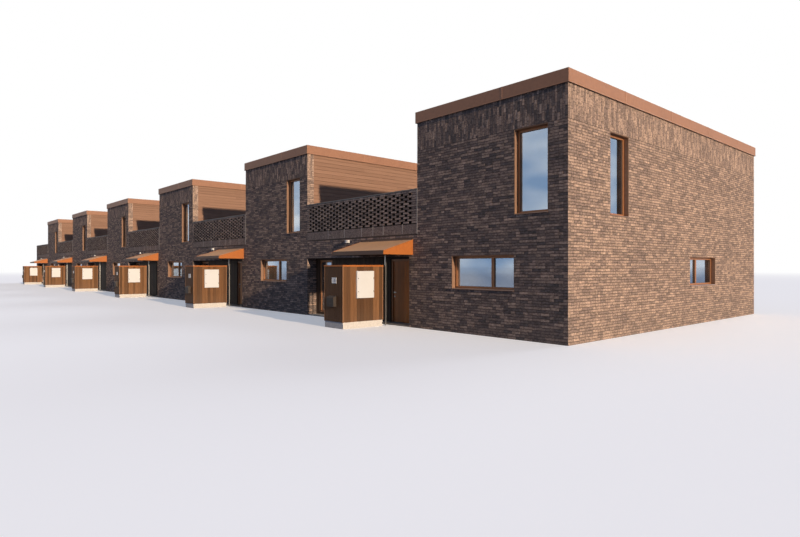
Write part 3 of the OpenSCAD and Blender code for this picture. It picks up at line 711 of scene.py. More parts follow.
# Courses between two heights: lengths are summed along each course, the first one long and short in turn
def brickCells(width, low, high, phase, rng):
    rows = np.arange(round(low / bricks["course"]), round(high / bricks["course"]))
    count = int(width / bricks["short"]) + 2
    lengths = np.where(rng.random((len(rows), count)) < bricks["headers"], bricks["short"], bricks["long"])
    lengths[:, 0] = np.where((rows + phase) % 2, bricks["short"], bricks["long"])
    lengths += bricks["butt"] + bricks["stray"] * (2 * rng.random(lengths.shape) - 1)
    ends = np.cumsum(lengths, axis=1)
    a0 = ends - lengths
    a1 = np.minimum(ends - bricks["butt"], width)
    a1 = np.where(width - a1 < bricks["short"] / 2, width, a1)
    b0 = np.repeat((rows * bricks["course"] + bricks["joint"] / 2)[:, None], count, axis=1)
    cells = np.stack([a0, a1, b0, b0 + bricks["course"] - bricks["joint"]]).reshape(4, -1)
    return cells[:, (cells[0] < width - bricks["short"] / 2)]


# Upright bricks between two heights, in columns that each start at their own quarter of a brick
def uprightCells(width, low, high, rng):
    count = round(width / bricks["course"])
    step = width / count
    rise = bricks["long"] + bricks["butt"]
    levels = int((high - low) / rise) + 2
    a0 = np.repeat((np.arange(count) * step)[:, None], levels, axis=1) + bricks["butt"] / 2
    start = low - rise * rng.integers(0, bricks["quarters"], count)[:, None] / bricks["quarters"]
    b0 = start + rise * np.arange(levels) + 0 * a0
    b1 = np.minimum(b0 + bricks["long"], high)
    b0 = np.maximum(b0, low + bricks["joint"] / 2)
    cells = np.stack([a0, a0 + step - bricks["butt"], b0, b1]).reshape(4, -1)
    return cells[:, cells[3] - cells[2] > bricks["shortestUpright"]]


# Lays cells on a plane: every brick stands out of the mortar by its own small amount, its face leans a
# little and its corners are a little out of square
def layBricks(base, cells, rng, tones):
    count = cells.shape[1]
    proud = bricks["proud"] + bricks["uneven"] * rng.random(count)
    tone = tones[0] + (tones[1] - tones[0]) * rng.beta(*bricks["toneShape"], count)
    points, faces, shades = blocks(base, *cells, -bricks["bury"], proud, tone)
    lean = bricks["lean"] * (rng.random((count, 4)) - 0.5)
    wobble = bricks["wobble"] * (rng.random((2, count, 4, 1)) - 0.5)
    fronts = points.reshape(-1, 8, 3)[:, 4:]
    fronts += lean[..., None] * base["out"] + wobble[0] * base["right"] + wobble[1] * base["up"]
    return points, faces, shades


# A brick wall: courses up to the window heads and upright bricks above them
def brickWall(base, seed, low=0.0, high=None, phase=0, flip=False, openings=(), upright=None,
              tones=bricks["tones"]):
    rng = np.random.default_rng(seed)
    high = base["height"] if high is None else high
    body = brickCells(base["width"], low, min(high, upright or high), phase, rng)
    if flip:
        # laid from the other end, and lapped over the bricks of the next wall
        body[[0, 1]] = base["width"] - body[[1, 0]]
        lap = bricks["cornerLap"]
        body[1] = np.where(body[1] > base["width"] - lap, base["width"] + lap, body[1])
    parts = [layBricks(base, cutOpenings(body, list(openings), bricks["shortest"]), rng, tones)]
    if upright and high > upright:
        parts.append(layBricks(base, uprightCells(base["width"], upright, high, rng), rng, tones))
    return parts


# Brick of the blocks: street and garden sides, the corners beside the boards, and the sunny gable; the gable
# and the corners take paler tones, painted sunlight
def makeBlockBricks():
    fronts, rears, corners = [], [], []
    for i in range(houses):
        street = wallPlane((blockFar[i], streetY, 0), -northward, blockWidth, brickHigh)
        fronts += brickWall(street, seeds["street"] + i, phase=1, flip=True, openings=openingsIn(street),
                            upright=uprightFoot)
        garden = wallPlane((blockNear[i], gardenY, 0), northward, blockWidth, brickHigh)
        rears += brickWall(garden, seeds["garden"] + i, openings=openingsIn(garden), upright=uprightFoot)
        # brick corners beside the terrace boards, on both sides of the block
        for side, x in ((1, blockNear[i]), (-1, blockFar[i])):
            if side == 1 and i == 0:
                continue
            for y in (streetY, gardenY - wall):
                start = y if side == 1 else y + wall
                strip = wallPlane((x, start, 0), side * eastward, wall, brickHigh)
                # corner strips take paler tones: painted sunlight
                corners += brickWall(strip, seeds["corner"] + 10 * i + side, low=terraceZ,
                                     upright=uprightFoot, tones=bricks["paintedSunCornerTones"])
    makePiece("streetBricks", fronts, brickSkin)
    makePiece("gardenBricks", rears, brickSkin)
    makePiece("cornerBricks", corners, brickSkin)
    gable = wallPlane((nearX, streetY, 0), eastward, depth, brickHigh)
    # the gable's paler tones are painted sunlight
    sunny = brickWall(gable, seeds["gable"], openings=openingsIn(gable), upright=uprightFoot,
                      tones=bricks["paintedSunGableTones"])
    makePiece("gableBricks", sunny, brickSkin)


# Brick of the links: over and beside the recess, its two cheeks, the garden side and the parapet's inner side
def makeLinkBricks():
    parts = []
    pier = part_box("link_piers")[1].x - solidBoxes("link_piers")[-1][0][0]
    for i in range(houses):
        left = blockFar[i] - linkWidth
        street = wallPlane((left, streetY, 0), -northward, linkWidth, bandFoot)
        recess = (-near, linkWidth - pier, -near, recessTop)
        parts += brickWall(street, seeds["linkStreet"] + i, high=bandFoot, openings=[recess])
        cheek = wallPlane((blockFar[i] - pier, streetY + recessDeep, 0), -eastward, recessDeep, recessTop)
        parts += brickWall(cheek, seeds["cheek"] + i)
        farCheek = wallPlane((left, streetY, 0), eastward, recessDeep, recessTop)
        parts += brickWall(farCheek, seeds["farCheek"] + i)
        garden = wallPlane((blockFar[i], gardenY, 0), northward, linkWidth, screenTop)
        parts += brickWall(garden, seeds["linkGarden"] + i, openings=openingsIn(garden))
        inner = wallPlane((left, gardenY - wall, 0), -northward, linkWidth, screenTop)
        parts += brickWall(inner, seeds["parapet"] + i, low=terraceZ)
    makePiece("linkBricks", parts, brickSkin)


# Party wall that closes the far end: a core and bricks on its open sides, all inside the wall's own box
partySetBack = 0.0045


def makePartyWall():
    core = levelPlane(farX + partySetBack, streetY, 0)
    side = wallPlane((farX + partySetBack, gardenY, 0), -eastward, depth, screenTop)
    short = wall - bricks["wobble"]
    street = wallPlane((farX + bricks["wobble"], streetY, 0), -northward, short, screenTop)
    garden = wallPlane((farX + wall, gardenY, 0), northward, short, screenTop)
    inner = wallPlane((farX + wall, streetY + wall, 0), eastward, depth - 2 * wall, screenTop)
    body = blocks(core, 0, wall - partySetBack, 0, depth, 0, screenTop)
    piece = makePiece("partyWallCore", [body], mortar)
    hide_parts("far_party_wall")
    sideSeed, streetSeed, gardenSeed, innerSeed = seeds["partyWall"]
    laid = brickWall(side, sideSeed) + brickWall(street, streetSeed, phase=1)
    laid += brickWall(garden, gardenSeed, phase=1) + brickWall(inner, innerSeed, low=terraceZ)
    makePiece("partyWallBricks", laid, brickSkin)


makeBlockBricks()
makeLinkBricks()
makePartyWall()
print("walls laid")

# Openwork screens: one brick between two openings in every course, set off by half in the next
screen = {"foot": 1.65, "rows": 13, "hole": 0.075, "end": 0.125, "proud": 0.0015, "slip": 0.0005,
          "lap": 0.0004, "bed": 0.0035, "toneShape": (1.6, 2.0)}
# Smooth band of upright bricks under the screen: pale joints between its lengths and one beside the block
band = {"joint": 0.0012, "in": 0.003, "proud": 0.0018, "tone": 0.20, "spread": 0.14,
        "paleAt": (0.349, 0.828, 1.103, 1.42, 1.931, 2.45), "paleWidth": 0.008, "paleIn": 0.01,
        "paleOver": 0.012, "paleBury": 0.002, "paleProud": 0.0026, "endProud": 0.0036}


# Each course holds every second place of a half step, and the next course the places between them
def makeScreens():
    step = (bricks["long"] + screen["hole"]) / 2
    first = linkWidth - screen["end"] - screen["hole"]
    count = int(first / step + near)
    proud, slip, bed = screen["proud"], screen["slip"], screen["bed"]
    laid, bands, lines = [], [], []
    for i in range(houses):
        rng = np.random.default_rng(seeds["screen"] + i)
        base = wallPlane((blockFar[i] - linkWidth, streetY, 0), -northward, linkWidth, screenTop)
        cells = []
        for row in range(screen["rows"]):
            # ends of the openings in this course, from left to right, give the bricks between them
            holes = np.sort(first - step * np.arange(row % 2, count + 1, 2))
            a0 = np.concatenate([[0.0], holes + screen["hole"] - screen["lap"]])
            a1 = np.concatenate([holes + screen["lap"], [linkWidth]])
            foot = screen["foot"] + row * bricks["course"] + bed
            cells.append(np.stack([a0, a1, 0 * a0 + foot, 0 * a0 + foot + bricks["course"] - 2 * bed]))
        cells = np.concatenate(cells, axis=1)
        tone = rng.beta(*screen["toneShape"], cells.shape[1])
        laid.append(blocks(base, *cells, -slip, proud, tone))
        laid.append(blocks(base, *cells, -screenDeep - proud, slip - screenDeep, tone))
        crown = screen["foot"] + screen["rows"] * bricks["course"]
        top = brickCells(linkWidth, crown, crown + bricks["course"], 0, rng)
        laid.append(blocks(base, *top, -screenDeep - proud, proud, rng.random(top.shape[1])))
        columns = round(linkWidth / bricks["course"])
        a = np.arange(columns) * linkWidth / columns
        tone = band["tone"] + band["spread"] * rng.random(columns)
        bands.append(blocks(base, a, a + linkWidth / columns - band["joint"], bandFoot + band["in"], bandTop,
                            -bricks["bury"], band["proud"], tone))
        half, bury = band["paleWidth"] / 2, -band["paleBury"]
        at = linkWidth - np.array(band["paleAt"])
        lines.append(blocks(base, at - half, at + half, bandFoot + band["paleIn"], bandTop + band["paleOver"],
                            bury, band["paleProud"]))
        lines.append(blocks(base, linkWidth - 2 * half, linkWidth, bandFoot, screenTop, bury,
                            band["endProud"]))
    makePiece("screenBricks", laid, screenSkin)
    makePiece("bandBricks", bands, screenSkin)
    makePiece("paleJoints", lines, paleMortar)


# Sheet cappings of the screens, the garden parapets and the party wall: a folded channel over the wall's top
capping = {"inner": 0.0050, "outer": 0.0075, "drop": 0.014, "top": 0.004}


def cappingStrip(base, length, width):
    inner, outer, drop, top = (capping[k] for k in ("inner", "outer", "drop", "top"))
    profile = [(-inner, -drop), (-inner, 0), (width + inner, 0), (width + inner, -drop),
               (width + outer, -drop), (width + outer, top), (-outer, top), (-outer, -drop)]
    return strips(base, 0, length, 0, profile)


def makeCappings():
    parts = []
    for i in range(houses):
        left = blockFar[i] - linkWidth
        parts.append(cappingStrip(levelPlane(left, streetY, screenTop), linkWidth, screenDeep))
        parts.append(cappingStrip(levelPlane(left, gardenY - wall, screenTop), linkWidth, wall))
    side = plane((farX + wall, streetY, screenTop), northward, -eastward)
    parts.append(cappingStrip(side, depth, wall - capping["outer"]))
    makePiece("parapetCappings", parts, cappingMetal)


# Folded roof edges: a channel over the wall tops with a drip nose at its foot and a top that falls inwards
roofEdge = {"sheet": 0.0025, "skin": 0.006, "turnIn": 0.012, "nose": 0.005, "noseTop": 0.009, "noseIn": 0.004,
            "shoulder": 0.006, "bevel": 0.003, "topFront": 0.002, "topBack": 0.007, "backLeg": 0.005,
            "underFront": 0.0095, "underBack": 0.0115}
# Cover strips over the joints between sheets
edgeJoint = {"at": 0.993, "step": 1.5, "half": 0.012, "last": 0.6, "turnIn": 0.010, "foot": 0.010,
             "inOut": 0.0004, "faceIn": 0.001, "shoulder": 0.005, "bevel": 0.002, "topFront": 0.0004,
             "topBack": 0.0052, "underBack": 0.0080, "underIn": 0.004, "underFront": 0.0030,
             "underFace": 0.0065}


# Profile points are (distance out from the wall's face, height over the edge's top)
def edgeProfile():
    e = roofEdge
    face, foot, back = edgeOut - e["sheet"], edgeFoot - edgeTop, -(wall + e["turnIn"])
    skin, leg = face - e["skin"], back + e["backLeg"]
    return [(skin, foot), (edgeOut, foot), (edgeOut, foot + e["nose"]), (face, foot + e["noseTop"]),
            (face, -e["shoulder"]), (face - e["bevel"], -e["topFront"]), (back, -e["topBack"]), (back, foot),
            (leg, foot), (leg, -e["underBack"]), (skin, -e["underFront"]), (skin, foot + e["noseIn"])]


def jointProfile():
    j = edgeJoint
    face, back = edgeOut - roofEdge["sheet"], -(wall + j["turnIn"])
    foot, out = edgeFoot - edgeTop + j["foot"], edgeOut - j["inOut"]
    return [(face - j["faceIn"], foot), (out, foot), (out, -j["shoulder"]),
            (face - j["bevel"], -j["topFront"]), (back, -j["topBack"]), (back, -j["underBack"]),
            (face - j["underIn"], -j["underFront"]), (face - j["faceIn"], -j["underFace"])]


def makeRoofEdges():
    channels, covers = [], []
    for i in range(houses):
        channels.append(ring(levelPlane(blockFar[i], streetY, edgeTop, blockWidth, depth), edgeProfile()))
        sides = [((blockNear[i], streetY), -northward, blockWidth),
                 ((blockNear[i], gardenY), eastward, depth),
                 ((blockFar[i], gardenY), northward, blockWidth),
                 ((blockFar[i], streetY), -eastward, depth)]
        for corner, out, length in sides:
            base = plane((*corner, edgeTop), np.cross(out, upward), out)
            at = np.arange(edgeJoint["at"], length - edgeJoint["last"], edgeJoint["step"])
            covers.append(strips(base, at - edgeJoint["half"], at + edgeJoint["half"], 0, jointProfile()))
    edges = makePiece("roofEdges", channels, edgeMetal)
    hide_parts("roof_edges")
    makePiece("roofEdgeJoints", covers, seamMetal)


# Roofing felt in lapped widths, and stone flags on the terraces
roofing = {"width": 0.5, "lap": 0.04, "thick": 0.002, "bury": 0.001}
flags = {"size": 0.25, "joint": 0.003, "thick": 0.014, "bury": 0.002}


def makeFeltAndFlags():
    felt, stone = [], []
    inner = wall + roofEdge["turnIn"]
    rows = np.arange(math.ceil((depth - 2 * inner) / roofing["width"]))
    b0 = inner + rows * roofing["width"]
    b1 = np.minimum(b0 + roofing["width"] + roofing["lap"], depth - inner)
    across, along = round(linkWidth / flags["size"]), round((depth - 2 * wall) / flags["size"])
    wide, long = linkWidth / across, (depth - 2 * wall) / along
    a, b = np.meshgrid(np.arange(across) * linkWidth / across,
                       wall + np.arange(along) * (depth - 2 * wall) / along)
    a, b = a.ravel(), b.ravel()
    for i in range(houses):
        thick = roofing["thick"] * (1 + rows % 2)
        felt.append(blocks(levelPlane(blockFar[i], streetY, roofZ), inner, blockWidth - inner, b0, b1,
                           -roofing["bury"], thick))
        tone = np.random.default_rng(seeds["flags"] + i).random(len(a))
        terrace = levelPlane(blockFar[i] - linkWidth, streetY, terraceZ)
        stone.append(blocks(terrace, a, a + wide - flags["joint"], b, b + long - flags["joint"],
                            -flags["bury"], flags["thick"], tone))
    makePiece("roofFelt", felt, feltSkin)
    makePiece("terraceFlags", stone, flagStone)


# Shiplap boards beside the terraces: each lies on the one below and leaves a shadow gap
boards = {"pitch": 0.075, "gap": 0.0022, "thick": 0.022, "slope": 0.0022, "length": 2.1, "butt": 0.0012,
          "bevel": 0.003, "bevelDeep": 0.002, "shortest": 0.05, "shortestCut": 0.02}


def makeTerraceBoards():
    p, t, slope = boards["pitch"], boards["thick"], boards["slope"]
    top, bevel, deep = p - boards["gap"], boards["bevel"], boards["bevelDeep"]
    profile = [(0, -t), (top, -t), (top, -slope - deep), (top - bevel, -slope), (bevel, 0), (0, -deep)]
    parts = []
    for number, (low, high) in enumerate(solidBoxes("terrace_boards")):
        rng = np.random.default_rng(seeds["terraceBoards"] + number)
        out = eastward if np.abs(blockNear - high[0]).min() < near else -eastward
        base = sidePlane(low, high, out)
        rows = np.arange(int(base["height"] / p + near))
        count = int(base["width"] / boards["length"]) + 2
        a0 = (np.arange(count) - rng.random(len(rows))[:, None]) * boards["length"]
        a1 = np.minimum(a0 + boards["length"] - boards["butt"], base["width"])
        a0 = np.maximum(a0, 0)
        b0 = rows[:, None] * p + 0 * a0
        cells = np.stack([a0, a1, b0, b0 + p]).reshape(4, -1)
        cells = cells[:, cells[1] - cells[0] > boards["shortest"]]
        cells = cutOpenings(cells, openingsIn(base), boards["shortestCut"])
        parts.append(strips(base, cells[0], cells[1], cells[2], profile, rng.random(cells.shape[1])))
    piece = makePiece("terraceBoards", parts, terraceTimber)
    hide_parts("terrace_boards")


makeScreens()
makeCappings()
makeRoofEdges()
makeFeltAndFlags()
makeTerraceBoards()
print("screens, roofs and boards made")

# Windows: gaskets, raised sashes and pale reveals behind the frames
joinery = {"rebate": 0.006, "gasket": 0.005, "gasketHigh": 0.004, "gasketLap": 0.001, "gasketBevel": 0.0015,
           "gasketBury": 0.0005, "sashFrom": 0.0004, "sashTo": 0.0178, "sashHigh": 0.0058, "sashBury": 0.003,
           "sashBevel": 0.002, "frameDeep": 0.046, "paneThick": 0.012, "revealIn": 0.010, "revealLap": 0.0005,
           "revealEnd": 0.001, "frameBack": 0.1145}


def makeJoinery():
    j = joinery
    gaskets, sashes, reveals = [], [], []
    edge, high, bury = -j["gasket"], j["gasketHigh"], -j["gasketBury"]
    lap = j["gasketLap"]
    gasketProfile = [(edge, bury), (lap, bury), (lap, high), (j["gasketBevel"] + edge, high)]
    frameFace = (j["frameDeep"] - j["paneThick"]) / 2      # how far the frame stands out from the pane
    sashProfile = bevelled(j["sashFrom"], j["sashTo"], frameFace - j["sashBury"], frameFace + j["sashHigh"],
                           j["sashBevel"])
    for low, high in solidBoxes("window_glass") + solidBoxes("side_light_glass"):
        pane = sidePlane(low, high, looksOut(low, high))
        gaskets.append(ring(pane, gasketProfile, j["rebate"]))
        sashes.append(ring(pane, sashProfile, j["rebate"]))
    inner, lap, end, back = -j["revealIn"], j["revealLap"], j["revealEnd"] - wall, -j["frameBack"]
    for w in windowPlanes:
        reveals.append(ring(w, [(inner, end), (lap, end), (lap, back), (inner, back)]))
    makePiece("glassGaskets", gaskets, gasketRubber)
    makePiece("windowSashes", sashes, frameMetal)
    makePiece("innerReveals", reveals, palePaint)


# Upright boards with bevelled edges that fill a plane, from a back level to a front level
def uprightBoards(base, width, back, front, rng, groove=0.003, gap=0.0008, palest=1.0):
    count = max(1, round(base["width"] / width))
    step = base["width"] / count
    profile = bevelled(0, step - gap, back, front, groove)
    tones = palest * rng.random(count)
    return strips(turned(base), 0, base["height"], np.arange(count) * step, profile, tones)


# The four parts of a plane round one opening
def roundOpening(base, left, right, foot, top):
    parts = [(0, left, 0, base["height"]), (right, base["width"], 0, base["height"]),
             (left, right, 0, foot), (left, right, top, base["height"])]
    return [subPlane(base, *p) for p in parts if p[1] - p[0] > near and p[3] - p[2] > near]


# Entrances: dark upright boards on the recess wall, and the doors' own boards and locks
entrance = {"board": 0.06, "bury": 0.001, "proud": 0.007, "doorBoard": 0.0855, "doorProud": 0.0022,
            "doorGroove": 0.0018, "edge": 0.014, "foot": 0.004, "head": 0.018, "jamb": 0.025, "gap": 0.006,
            "lockIn": 0.034, "lockHigh": 0.455, "rose": 0.0125, "roseHigh": 0.0025, "roseBevel": 0.001,
            "barrel": 0.0045, "barrelHigh": 0.005, "barrelBevel": 0.0005}


def makeEntrances():
    e = entrance
    rng = np.random.default_rng(seeds["entrance"])
    parts = []
    lights = solidBoxes("side_light_frames")
    for low, high in solidBoxes("entrance_panels"):
        base = sidePlane(low, high, -northward)
        planes = [base]
        for lightLow, lightHigh in lights:
            left, right = lightLow[0] - low[0], lightHigh[0] - low[0]
            if left > 0 and right < base["width"]:
                planes = roundOpening(base, left, right, lightLow[2] - low[2], lightHigh[2] - low[2])
        for p in planes:
            parts.append(uprightBoards(p, e["board"], -e["bury"], e["proud"], rng))
    makePiece("entranceBoards", parts, darkTimber)
    shell, edge, thin = e["jamb"] + e["gap"], e["edge"], e["doorProud"]
    for i, (low, high) in enumerate(sorted(solidBoxes("door_frames"), key=lambda box: -box[0][0])):
        doorLow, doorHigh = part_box(f"door_{i + 1}")
        left, right = low[0] + shell, high[0] - shell
        foot = doorLow.z + e["foot"]
        width, height = right - left - 2 * edge, doorHigh.z - doorLow.z - e["head"]
        street = wallPlane((left + edge, doorLow.y, foot), -northward, width, height)
        room = wallPlane((right - edge, high[1], foot), northward, width, height)
        skins = [uprightBoards(side, e["doorBoard"], -e["bury"], thin, rng, e["doorGroove"])
                 for side in (street, room)]
        makePiece(f"doorBoards_{i + 1}", skins, doorTimber, f"house_door_{i + 1}")
        leaf = wallPlane((left, doorLow.y, 0), -northward, right - left, doorHigh.z)
        lock = (e["lockIn"], e["lockHigh"])
        fittings = []
        for part, start in (("rose", 0), ("barrel", thin)):
            radius, top, bevel = e[part], thin + e[part + "High"], e[part + "Bevel"]
            fittings.append(spun(leaf, lock, [(radius, start), (radius, top - bevel), (radius - bevel, top)]))
        makePiece(f"doorFittings_{i + 1}", fittings, brushedSteel, f"house_door_{i + 1}",
                  rounded=True)


# Canopies: a seamed sheet top lightened as a painted sky sheen, vivid end plates, a front edge and a flashing
# darkened as painted shade, and a boarded soffit
canopy = {"plate": 0.0028, "plateLap": 0.0005, "plateOut": 0.003, "plateOver": 0.0025, "lip": 0.053,
          "rise": 0.237, "lipBury": 0.0005, "lipFoot": 0.004, "lipProud": 0.0024, "lipBack": 0.012,
          "lipOver": 0.0045, "lipUnder": 0.0008, "flashFoot": 0.012, "flashHigh": 0.030, "flashBury": 0.002,
          "flashProud": 0.0045}
seam = {"sheets": 3, "wide": 0.016, "high": 0.0016, "bevel": 0.003, "deep": 0.001, "short": 0.008,
        "bury": 0.001}
soffit = {"board": 0.0763, "thick": 0.004, "gap": 0.002, "in": 0.004, "bevel": 0.001, "bury": 0.001}


def makeCanopies():
    c = canopy
    plates, lips, seams, soffits = [], [], [], []
    lip, rise, bury = c["lip"], c["rise"], c["lipBury"]
    for low, high in solidBoxes("canopies"):
        length, out = high[0] - low[0], high[1] - low[1]
        base = plane((high[0], high[1], low[2]), -eastward, -northward)
        front, over = out + c["plateOut"], c["plateOver"]
        wedge = [(0, -c["plateOut"]), (front, -c["plateOut"]), (front, lip + over), (0, rise + over)]
        plates.append(strips(base, -c["plate"], c["plateLap"], 0, wedge))
        plates.append(strips(base, length - c["plateLap"], length + c["plate"], 0, wedge))
        back = c["lipBack"]
        climb = lip + (rise - lip) / out * back              # height of the slope behind the front edge
        front = out + c["lipProud"]
        lipProfile = [(out - bury, -c["lipFoot"]), (front, -c["lipFoot"]), (front, lip + over),
                      (out - back, climb + c["lipOver"]), (out - back, climb + c["lipUnder"]),
                      (out - bury, lip + c["lipUnder"])]
        lips.append(strips(base, 0, length, 0, lipProfile))
        flash = plane((low[0], high[1], low[2] + rise - c["flashFoot"]), eastward, upward)
        lips.append(blocks(flash, 0, length, 0, c["flashHigh"] + c["flashFoot"], -c["flashBury"],
                           c["flashProud"]))
        fall = np.array([0, -out, lip - rise])
        run = np.linalg.norm(fall)
        top = plane((low[0], high[1], low[2] + rise), fall / run, eastward)
        at = length * (np.arange(seam["sheets"] - 1) + 1) / seam["sheets"]
        half = seam["wide"] / 2
        seamProfile = bevelled(-half, half, -seam["bury"], seam["high"], seam["bevel"], seam["deep"])
        seams.append(strips(top, 0.0, run - seam["short"], at, seamProfile))
        under = plane((low[0], high[1], low[2]), eastward, -northward)
        count = round(out / soffit["board"])
        board = bevelled(0, out / count - soffit["gap"], -soffit["bury"], soffit["thick"], soffit["bevel"])
        tone = np.random.default_rng(seeds["soffit"]).random(count)
        soffits.append(strips(under, soffit["in"], length - soffit["in"], np.arange(count) * out / count,
                              board, tone))
    makePiece("canopyEnds", plates, rustMetal)
    # the front edges and flashings carry painted shade
    makePiece("canopyLips", lips, paintedShadeMetal)
    makePiece("canopySeams", seams, paintedSheenTopMetal)
    makePiece("canopySoffits", soffits, darkTimber)


# Sheds: upright boards between corner angles, with a leaf on the street side, under the folded cap; the
# street side's boards keep to the darkest tones as painted shade
shed = {"board": 0.0625, "edgeBoard": 0.05, "thick": 0.020, "post": 0.014, "postProud": 0.0015,
        "postShort": 0.021, "postBury": 0.002, "leafEdge": 0.034, "leafGap": 0.003, "leafPaintedShadeTone": 0.1}


def makeSheds():
    rng = np.random.default_rng(seeds["shed"])
    cladding, angles = [], []
    post, proud = shed["post"], shed["postProud"]
    for low, high in solidBoxes("sheds"):
        for out in (eastward, -northward, -eastward, northward):
            base = sidePlane(low, high, out)
            w, h = base["width"], base["height"]
            fields = [(post, w - post, 0, shed["board"])]
            palest = 1.0
            if out[1] < 0:
                leaf, gap, narrow = shed["leafEdge"], shed["leafGap"], shed["edgeBoard"]
                fields = [(post, leaf, 0, narrow), (w - leaf, w - post, 0, narrow),
                          (leaf + gap, w - leaf - gap, gap, shed["board"])]
                # the shaded street side gets only the darkest board tones: painted shade
                palest = shed["leafPaintedShadeTone"]
            for a0, a1, foot, width in fields:
                cladding.append(uprightBoards(subPlane(base, a0, a1, foot, h), width, -shed["thick"], 0, rng,
                                              palest=palest))
        top = levelPlane(*low)
        w, d, h = high - low
        for a0, a1 in ((-proud, post), (w - post, w + proud)):
            for b0, b1 in ((-proud, post), (d - post, d + proud)):
                angles.append(blocks(top, a0, a1, b0, b1, -shed["postBury"], h - shed["postShort"]))
    piece = makePiece("shedBoards", cladding, shedTimber)
    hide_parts("sheds")
    makePiece("shedTrims", angles, trimTimber)


# Meter cabinets: a rim, a bevelled leaf behind a gap, two locks and hinges
cabinet = {"back": 0.005, "rim": 0.007, "rimBury": 0.006, "rimBevel": 0.001, "leafIn": 0.0095,
           "leafBury": 0.006, "leafDeep": 0.002, "leafBevel": 0.0018, "leafFace": 0.0005,
           "lockAt": (0.24, 0.73), "lockIn": 0.030,
           "lock": [(0.0075, -0.002), (0.0075, 0.0008), (0.0065, 0.0014)],
           "hingeFrom": 0.012, "hingeTo": 0.004, "hingeHalf": 0.016, "hingeBury": 0.003, "hingeProud": 0.0012}


def makeCabinets():
    c = cabinet
    shells, locks = [], []
    e, half = c["leafIn"], c["hingeHalf"]
    for base, w, h, d in facing("meter_cabinets", eastward):
        shells.append(blocks(base, 0, w, 0, h, -d, -c["back"]))
        shells.append(ring(base, bevelled(-c["rim"], 0, -c["rimBury"], 0, c["rimBevel"])))
        leaf = bevelled(e, h - e, -c["leafBury"], -c["leafFace"], c["leafBevel"], c["leafDeep"])
        shells.append(strips(base, e, w - e, 0, leaf))
        for z in c["lockAt"]:
            locks.append(spun(base, (c["lockIn"], z * h), c["lock"], segments=16))
            locks.append(blocks(base, w - c["hingeFrom"], w - c["hingeTo"], z * h - half, z * h + half,
                                -c["hingeBury"], c["hingeProud"]))
    piece = makePiece("meterCabinets", shells, cabinetPaint)
    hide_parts("meter_cabinets")
    makePiece("cabinetLocks", locks, gasketRubber, rounded=True)


# Letterboxes: a box with a sloping lid that laps over a slot, and a round lock
letterbox = {"in": 0.003, "backTop": 0.004, "frontTop": 0.030, "frontIn": 0.004, "footIn": 0.011,
             "lidThick": 0.003, "lidFall": 0.026, "lidFoot": 0.052, "lidLip": 0.002, "lidUnder": 0.0285,
             "lidInner": 0.0025, "slotIn": 0.018, "slotFrom": 0.066, "slotTo": 0.054, "slotDeep": 0.012,
             "slotFace": 0.0035, "lockHigh": 0.045,
             "lock": [(0.007, -0.012), (0.007, -0.006), (0.006, -0.005)]}


def makeLetterboxes():
    b = letterbox
    bodies, slots = [], []
    for base, w, h, d in facing("letterboxes", -northward):
        body = [(0, -d), (h - b["backTop"], -d), (h - b["frontTop"], -b["frontIn"]), (0.0, -b["footIn"])]
        lid = [(h - b["lidThick"], -d), (h, -d), (h - b["lidFall"], 0), (h - b["lidFoot"], 0),
               (h - b["lidFoot"], -b["lidLip"]), (h - b["lidUnder"], -b["lidInner"])]
        bodies.append(strips(base, b["in"], w - b["in"], 0, body))
        bodies.append(strips(base, 0, w, 0, lid))
        slots.append(blocks(base, b["slotIn"], w - b["slotIn"], h - b["slotFrom"], h - b["slotTo"],
                            -b["slotDeep"], -b["slotFace"]))
        slots.append(spun(base, (w / 2, b["lockHigh"]), b["lock"], segments=16))
    piece = makePiece("letterboxBodies", bodies, letterMetal)
    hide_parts("letterboxes")
    makePiece("letterboxSlots", slots, gasketRubber, rounded=True)


# Plain numbers drawn with bars: each bar as (left, right, foot, top) on a grid one wide and two high
numberBars = {"a": (0, 1, 2, 2), "b": (1, 1, 1, 2), "c": (1, 1, 0, 1), "d": (0, 1, 0, 0), "e": (0, 0, 0, 1),
              "f": (0, 0, 1, 2), "g": (0, 1, 1, 1)}
numberShapes = ("bc", "abged", "abgcd", "fgbc", "afgcd", "afgedc", "abc", "abcdefg")
# Number plates with a raised rim and four screws
plate = {"back": 0.0016, "rim": 0.004, "rimBury": 0.002, "rimBevel": 0.0006, "screwIn": 0.010,
         "screw": [(0.0028, -0.002), (0.0028, -0.0008), (0.0016, -0.0002)], "number": 0.5,
         "slender": 12, "numberBury": 0.002, "numberFace": 0.0008, "barLower": 0.0001}


# Bars of one number in the middle of a plate, each a block as wide as a sixth of the number's height
def numberOn(base, number, tall):
    half = tall / plate["slender"]
    shape = numberShapes[number % len(numberShapes)]
    box = np.array([numberBars[bar] for bar in shape], float).T * tall / 2
    left, foot = (base["width"] - tall / 2) / 2, (base["height"] - tall) / 2
    # level bars reach round the corners and lie a little lower, so no two faces share a plane
    level = box[0] < box[1]
    reach = half * level
    face = -plate["numberFace"] - plate["barLower"] * level
    return blocks(base, left + box[0] - half, left + box[1] + half, foot + box[2] - reach,
                  foot + box[3] + reach, -plate["numberBury"], face)


